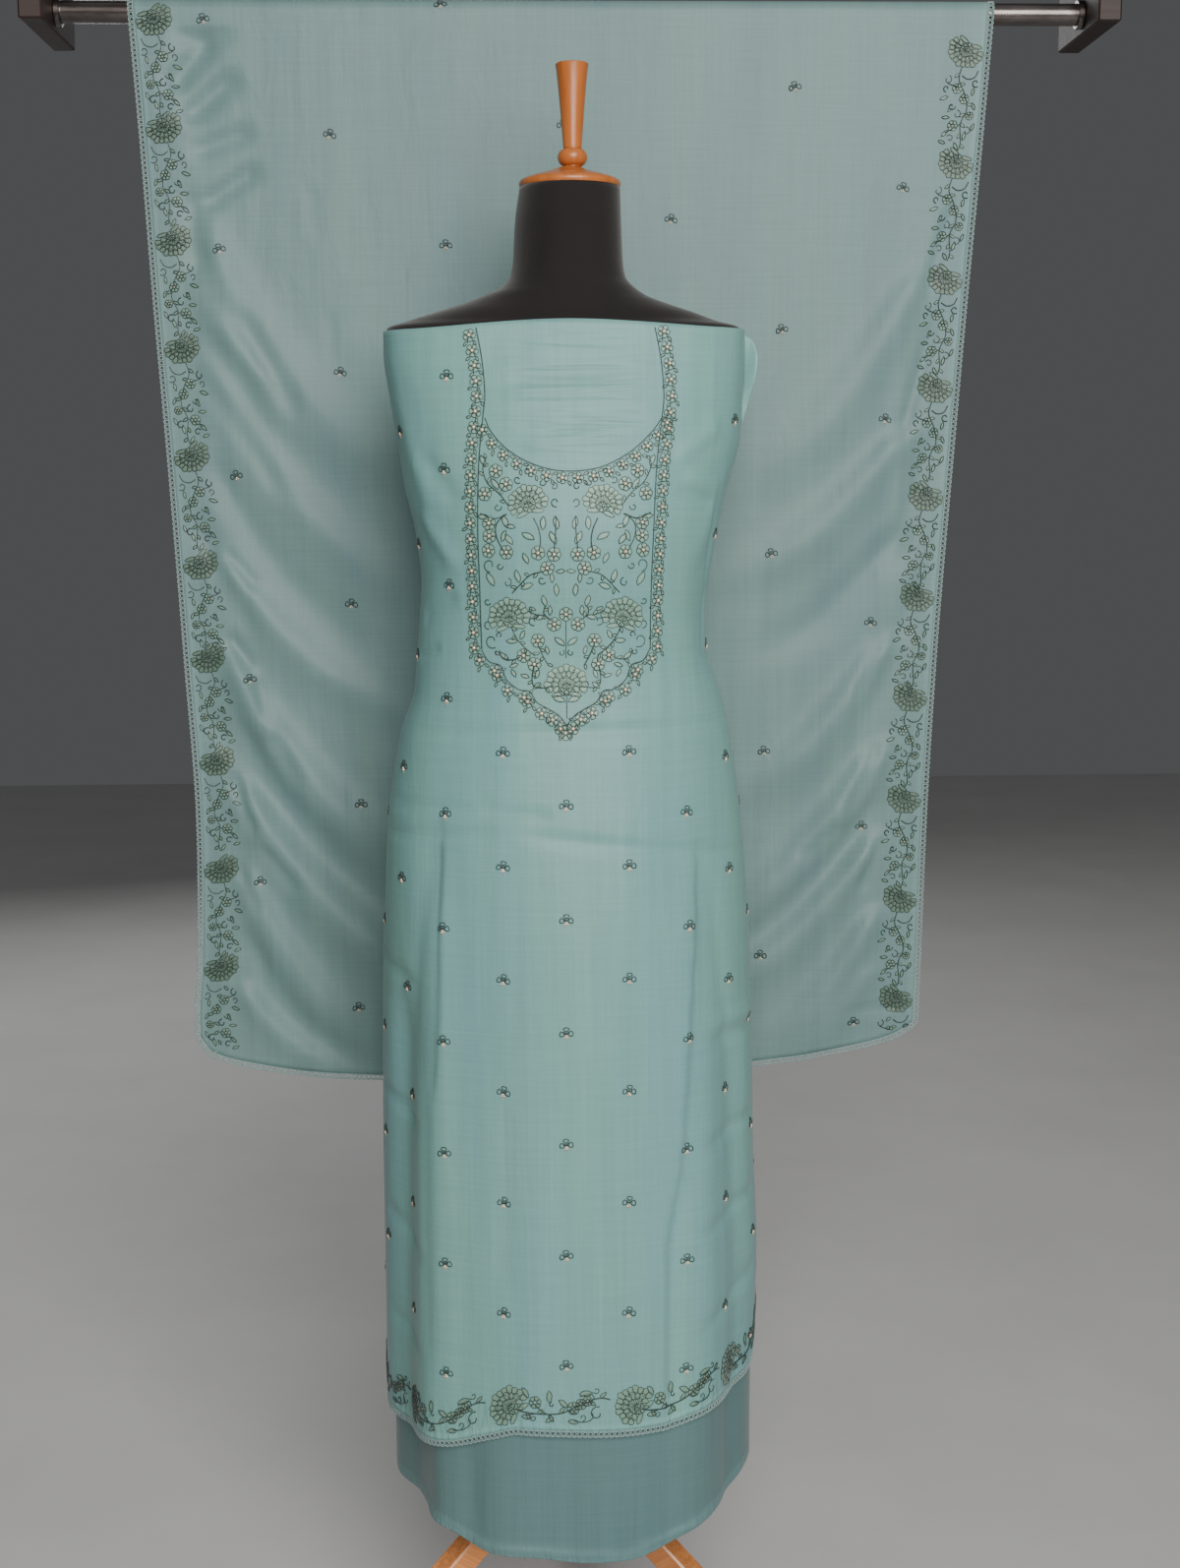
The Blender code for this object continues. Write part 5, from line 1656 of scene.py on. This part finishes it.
# Lines are (points in space, closed, girth, tint); units are (point, along, facing, size)
def threadPiece(name, lines, finish, radius, sides=4, units=(), unit=None):
    points, edges, girth, tint, size, along, facing = [], [], [], [], [], [], []
    for line, closed, thick, shade in lines:
        first, count = len(points), len(line)
        points += [tuple(p) for p in line]
        edges += [(first + k, first + (k + 1) % count) for k in range(count if closed else count - 1)]
        girth += [thick] * count if np.isscalar(thick) else list(thick)
        tint += [shade] * count
        size += [0.0] * count
        along += [(1, 0, 0)] * count
        facing += [(0, 0, 1)] * count
    for place, way, face, scale in units:
        points.append(tuple(place))
        girth.append(1.0)
        tint.append(0.5)
        size.append(scale)
        along.append(tuple(way))
        facing.append(tuple(face))
    mesh = meshFrom(name, points, [], smooth=False, edges=edges)
    for field, values in (("girth", girth), ("tint", tint), ("unitSize", size)):
        setField(mesh, field, values)
    for field, values in (("along", along), ("facing", facing)):
        layer = mesh.attributes.new(field, "FLOAT_VECTOR", "POINT")
        layer.data.foreach_set("vector", np.array(values, np.float32).ravel())
    piece = linkObject(name, mesh)
    work = piece.modifiers.new("Thread work", "NODES")
    work.node_group = threadGroup
    for socket, value in (("Thread radius", radius), ("Thread sides", sides), ("Unit", unit), ("Finish", finish)):
        work[threadSockets[socket]] = value
    bakeModifiers(piece)
    for field in ("girth", "unitSize", "along", "facing"):
        if field in piece.data.attributes:
            piece.data.attributes.remove(piece.data.attributes[field])
    return piece


def beadUnit(name, sides=6):
    bm = bmesh.new()
    bmesh.ops.create_uvsphere(bm, u_segments=sides, v_segments=4, radius=1.0)
    bmesh.ops.scale(bm, vec=(1.0, 1.0, threadFacts["beadFlat"]), verts=bm.verts)
    return hiddenUnit(name, bm)


def satinPiece(name, fills, finish):  # each fill is a low dome: rim points, middle point, tint
    points, faces, tint = [], [], []
    for rim, middle, shade in fills:
        first, count = len(points), len(rim)
        points += [tuple(p) for p in rim] + [tuple(middle)]
        faces += [(first + k, first + (k + 1) % count, first + count) for k in range(count)]
        tint += [shade] * (count + 1)
    mesh = meshFrom(name, points, faces)
    setField(mesh, "tint", tint)
    return linkMesh(name, mesh, finish)


def stitch(name, groups):  # groups are (items, a function that lays flat points on the cloth)
    clear = threadFacts["clear"]
    lines, fills, beads = [], [], []
    for items, lay in groups:
        flat, lifts = [], []
        for item in items:
            points = np.atleast_1d(item[1])
            if item[0] == "line":
                wanted = ((points, threadFacts["radius"] * 0.5 + clear + item[5]),)
            elif item[0] == "fill":
                low = clear + item[3]
                wanted = ((points, low), (np.array([points.mean()]), low + threadFacts["fillLift"] * (item[3] >= 0)))
            else:
                wanted = ((points, item[2] * 0.6), (points, item[2] + 0.01))
            for part, lift in wanted:
                flat.append(part)
                lifts.append(np.full(len(part), lift))
        inSpace = lay(np.concatenate(flat), np.concatenate(lifts))
        laid = iter(np.split(inSpace, np.cumsum([len(part) for part in flat])[:-1]))
        for item in items:
            if item[0] == "line":
                lines.append((next(laid), *item[2:5]))
            elif item[0] == "fill":
                rim, middle, shape = next(laid), next(laid)[0], item[1]
                after = np.roll(shape, -1)
                area = np.sum(shape.real * after.imag - after.real * shape.imag)
                fills.append((rim if area > 0 else rim[::-1], middle, item[2]))
            else:
                place, above = next(laid)[0], next(laid)[0]
                beads.append((place, (1, 0, 0.01), above - place, item[2]))
    unit = beadUnit(name + "BeadUnit")
    pieces = [
        threadPiece(name + "Threads", lines, finishes["thread"], threadFacts["radius"], threadFacts["sides"]),
        satinPiece(name + "Satin", fills, finishes["satin"]),
        threadPiece(name + "Beads", [], finishes["bead"], threadFacts["radius"], threadFacts["sides"], beads, unit),
    ]
    bpy.data.objects.remove(unit)
    for piece in pieces:
        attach(piece, "root")
    print(name, "stitched:", [len(piece.data.polygons) for piece in pieces])


flatWork = yokeWork()
for k, place in enumerate(sprigPlaces()):
    flatWork += moved(buti(), complex(*place), 8 * math.sin(57 * k), butiFacts["size"])
kameezGroups = [(worked(flatWork, "yoke"), onKameez), (worked(hemBorderWork(), "hem"), onKameezHem)]
stitch("kameezNeedlework", kameezGroups)

dupattaBorderFacts = {
    "leftDrops": (0.034, 0.154, 0.281, 0.404, 0.53, 0.657, 0.769, 0.894, 1.027, 1.15),
    "rightDrops": (0.068, 0.194, 0.327, 0.453, 0.581, 0.702, 0.824, 0.95, 1.075, 1.202),
    "backDrops": (0.11, 0.236, 0.362, 0.488, 0.614, 0.74, 0.866, 0.992, 1.118),
    "bloom": (0.0224, 0.003, 152, 0.95),  # distance in, drop, turn, size
    "leafSize": (1.0, 0.36),
    "flowerSize": (1.0, 0.0008, 25),
    # distance in from the border, drop below the bloom's middle
    "flowers": ((0.029, -0.04, 0.0058), (0.02, -0.052, 0.0056), (0.031, -0.082, 0.006), (0.012, -0.071, 0.0046)),
    "leaves": (
        (0.036, -0.062, 140, 0.009), (0.04, -0.09, 125, 0.0105), (0.016, -0.094, -25, 0.01),
        (0.025, -0.105, 20, 0.0095), (0.01, -0.044, -20, 0.009), (0.04, -0.072, 80, 0.0095),
        (0.008, -0.06, 15, 0.009), (0.044, -0.05, 100, 0.0105), (0.007, -0.084, -30, 0.009), (0.042, -0.1, 60, 0.009),
    ),
    "curls": (
        (0.041, -0.03, 0.005, 160), (0.042, -0.04, 0.004, 0), (0.027, -0.069, 0.005, 180), (0.008, -0.034, 0.005, 40),
        (0.014, -0.088, 0.005, 200), (0.034, -0.06, 0.0046, 90), (0.033, -0.096, 0.0044, 240),
    ),
    "vineLeaves": (0.012, 0.0072),
    "arc": ((0.006, -0.02), (0.01, -0.0275), (0.018, -0.0295), (0.025, -0.0255)),
    "vines": (
        ((0.026, -0.016), (0.028, -0.03), (0.02, -0.046), (0.016, -0.064), (0.022, -0.08), (0.02, -0.1),
         (0.022, -0.11)),
        ((0.028, -0.038), (0.036, -0.036), (0.041, -0.034)), ((0.022, -0.08), (0.032, -0.086), (0.04, -0.09)),
    ),
}


def borderUnit():
    facts = dupattaBorderFacts
    out = borderBloom(facts, 0.88) + smallFlowers(facts) + leavesAndCurls(facts) + vine(facts["arc"], 1.1)
    for k, points in enumerate(facts["vines"]):
        out += vine(points) if k else leafyVine(points, *facts["vineLeaves"])
    return out


def dropped(items, drop):  # up becomes drop: the unit hangs below the rod
    out = []
    for item in items:
        points = np.asarray(item[1])
        out.append((item[0], points.real + 1j * (drop - points.imag), *item[2:]))
    return out


dupattaSprigs = {  # across from -1 to 1, and drops
    "front": (
        (-0.84, (0.033, 0.291, 0.552, 0.794, 1.042)), (-0.56, (0.161, 0.432, 0.705, 0.948, 1.202)),
        (-0.287, (0.015, 0.286, 0.56, 0.83, 1.075)), (0.0, (0.15, 0.41, 0.67, 0.93, 1.17)),
        (0.266, (0.257, 0.52, 0.78, 1.035)), (0.555, (0.107, 0.384, 0.648, 0.888, 1.142)),
        (0.833, (0.221, 0.489, 0.732, 0.983, 1.23)),
    ),
    "back": (
        (-0.84, (0.221, 0.48, 0.74, 1.0)), (-0.56, (0.1, 0.35, 0.61, 0.87, 1.11)), (-0.28, (0.225, 0.48, 0.74, 1.0)),
        (0.0, (0.1, 0.35, 0.61, 0.87, 1.11)), (0.28, (0.225, 0.48, 0.74, 1.0)), (0.56, (0.1, 0.35, 0.61, 0.87, 1.11)),
        (0.84, (0.221, 0.48, 0.74, 1.0)),
    ),
}


def hemDrop(stretch, u):  # how far below the rod's top the hem hangs
    return rodFacts["z"] + dupattaFacts["outer"] * math.pi / 2 - curveThrough(dupattaFacts["hem"][stretch], u)


def dupattaWork(stretch):  # the left border's work with the sprigs, and the right border's
    facts, unit = dupattaBorderFacts, worked(borderUnit(), "dupatta")
    work = {-1: [], 1: []}
    for side, key in ((-1, "leftDrops"), (1, "rightDrops")):
        foot = hemDrop(stretch, side * 0.94) - 0.004
        for drop in facts[key] if stretch == "front" else facts["backDrops"]:
            work[side] += [item for item in dropped(unit, drop) if np.max(np.imag(item[1])) < foot]
    for u, drops in dupattaSprigs[stretch]:
        for k, drop in enumerate(drops):
            left, right = dupattaBorders(stretch, rodFacts["z"] - drop)
            inward = float((right - left) * (u + 1) / 2)
            sprig = moved(buti(), inward + 0j, 14 * math.sin(31 * k + 9 * u), butiFacts["size"])
            work[-1] += dropped(worked(sprig, "dupatta"), drop)
    return [(work[side], partial(onDupatta, stretch, side)) for side in (-1, 1)]


for stretch in ("front", "back"):
    stitch("dupatta" + stretch.title() + "Needlework", dupattaWork(stretch))
print("embroidery done")

laceFacts = {
    "pitch": 0.0057,
    "ring": (0.00232, 0.00222),  # half sizes along the edge and across it
    "cord": 0.00064,
    "ringIn": 0.0026,  # the rings' middles beyond the cloth's edge
    "railIn": 0.0002,
    "scallopIn": 0.005,
    "scallopDeep": 0.0013,
    "steps": 4,
}


def ringUnit(name):
    long, wide = laceFacts["ring"]
    bm = bmesh.new()
    rings = []
    for k in range(8):
        a = 2 * math.pi * k / 8
        ring = []
        for j in range(4):
            b = math.pi / 2 * j + math.pi / 4
            reach = laceFacts["cord"] * math.cos(b)
            high = laceFacts["cord"] * 0.8 * math.sin(b)
            ring.append(bm.verts.new(((long + reach) * math.cos(a), (wide + reach) * math.sin(a), high)))
        rings.append(ring)
    for ring, after in zip(rings, rings[1:] + rings[:1]):
        for j in range(4):
            bm.faces.new((ring[j], after[j], after[(j + 1) % 4], ring[(j + 1) % 4]))
    bmesh.ops.recalc_face_normals(bm, faces=bm.faces)
    return hiddenUnit(name, bm)


# Edge holds the cloth's edge points, and inner the points just inside them
def laceAlong(name, edge, inner, closed, slotName, *nodes):
    facts = laceFacts
    if closed:
        edge, inner = np.vstack([edge, edge[:1]]), np.vstack([inner, inner[:1]])
    run = runOf(np.linalg.norm(np.diff(edge, axis=0), axis=1))
    count = int(run[-1] / facts["pitch"])
    at = np.arange(count * facts["steps"] + (0 if closed else 1)) * run[-1] / (count * facts["steps"])
    place = np.stack([np.interp(at, run, edge[:, k]) for k in range(3)], axis=1)
    outward = np.stack([np.interp(at, run, (edge - inner)[:, k]) for k in range(3)], axis=1)
    along = np.roll(place, -1, axis=0) - np.roll(place, 1, axis=0)
    if not closed:
        along[0], along[-1] = along[1], along[-2]
    along /= np.linalg.norm(along, axis=1)[:, None]
    outward -= np.sum(outward * along, axis=1)[:, None] * along
    outward /= np.linalg.norm(outward, axis=1)[:, None]
    facing = np.cross(along, outward)
    phase = np.arange(len(at)) / facts["steps"]
    scallop = place + outward * (facts["scallopIn"] + facts["scallopDeep"] * np.abs(np.sin(math.pi * phase)))[:, None]
    rail = (place + outward * facts["railIn"])[:: facts["steps"]]
    middle = slice(facts["steps"] // 2, None, facts["steps"])
    ringPlaces = (place + outward * facts["ringIn"])[middle]
    units = [(*spot, 1.0) for spot in zip(ringPlaces, along[middle], facing[middle])]
    unit = ringUnit(name + "Ring")
    lines = [(rail, closed, 1.0, 0.5), (scallop, closed, 1.05, 0.5)]
    piece = threadPiece(name, lines, finishes["lace"], facts["cord"], 4, units, unit)
    bpy.data.objects.remove(unit)
    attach(piece, "root")
    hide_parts(*nodes)
    print(name, "crocheted:", len(piece.data.polygons), "faces round", count, "eyelets")


laceAlong("kameezHemLace", *kameezDrawn.edge(False), False, "lace_teal", "kameez_hem_lace")
laceAlong("dupattaLace", *dupattaDrawn.edge(True), True, "lace_teal", "dupatta_front_lace", "dupatta_back_lace")

cameraFacts = {"place": (-0.0735, -2.284, 1.35), "down": 8.4, "right": 2.06, "roll": -0.31, "focal": 46.3}


def placeCamera():
    down, side, roll = (math.radians(cameraFacts[k]) for k in ("down", "right", "roll"))
    ahead = Vector((math.sin(side) * math.cos(down), math.cos(side) * math.cos(down), -math.sin(down)))
    level = Vector((math.cos(side), -math.sin(side), 0.0))
    up = level.cross(ahead)
    right = math.cos(roll) * level + math.sin(roll) * up
    up = -math.sin(roll) * level + math.cos(roll) * up
    data = bpy.data.cameras.new("camera")
    data.lens, data.sensor_width = cameraFacts["focal"], 36.0
    data.clip_start, data.clip_end = 0.05, 60
    camera = linkObject("camera", data)
    matrix = Matrix((right, up, -ahead)).transposed().to_4x4()
    matrix.translation = Vector(cameraFacts["place"])
    camera.matrix_world = matrix
    bpy.context.scene.camera = camera


lightFacts = {  # place, aim, size, power, colour
    "keyLight": ((0.64, -3.9, 2.75), (0.0, 0.0, 1.0), 2.6, 246, (1.0, 0.985, 0.955)),
    "topLight": ((0.2, -0.6, 3.6), (0.0, 0.0, 0.8), 2.0, 5, (1.0, 1.0, 1.0)),
    "backLight": ((-1.2, 3.6, 2.6), (0.0, 0.0, 1.0), 2.4, 50, (1.0, 1.0, 1.0)),
}
worldFacts = {"colour": (0.8, 0.82, 0.84), "strength": 0.1}
floorFacts = {"half": 7, "height": -0.001}


def placeLights():
    for name, (place, aim, size, power, colour) in lightFacts.items():
        data = bpy.data.lights.new(name, "AREA")
        data.size, data.energy, data.color = size, power, colour
        lamp = linkObject(name, data)
        lamp.location = place
        lamp.rotation_euler = (Vector(aim) - Vector(place)).to_track_quat("-Z", "Y").to_euler()
    world = bpy.data.worlds.new("studio")
    world.use_nodes = True
    background = world.node_tree.nodes["Background"]
    background.inputs["Color"].default_value = (*worldFacts["colour"], 1.0)
    background.inputs["Strength"].default_value = worldFacts["strength"]
    bpy.context.scene.world = world


def placeFloor():
    half, height = floorFacts["half"], floorFacts["height"]
    corners = [(x * half, y * half, height) for x, y in ((-1, -1), (1, -1), (1, 1), (-1, 1))]
    mesh = meshFrom("floor", corners, [(0, 1, 2, 3)], smooth=False)
    linkMesh("floor", mesh, paleFloor("paleFloor"))


placeCamera()
placeLights()
placeFloor()
print("studio set")

added = [o for o in bpy.context.scene.objects if o.type == "MESH" and o.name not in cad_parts]
print("triangles added:", sum(len(p.vertices) - 2 for o in added for p in o.data.polygons))
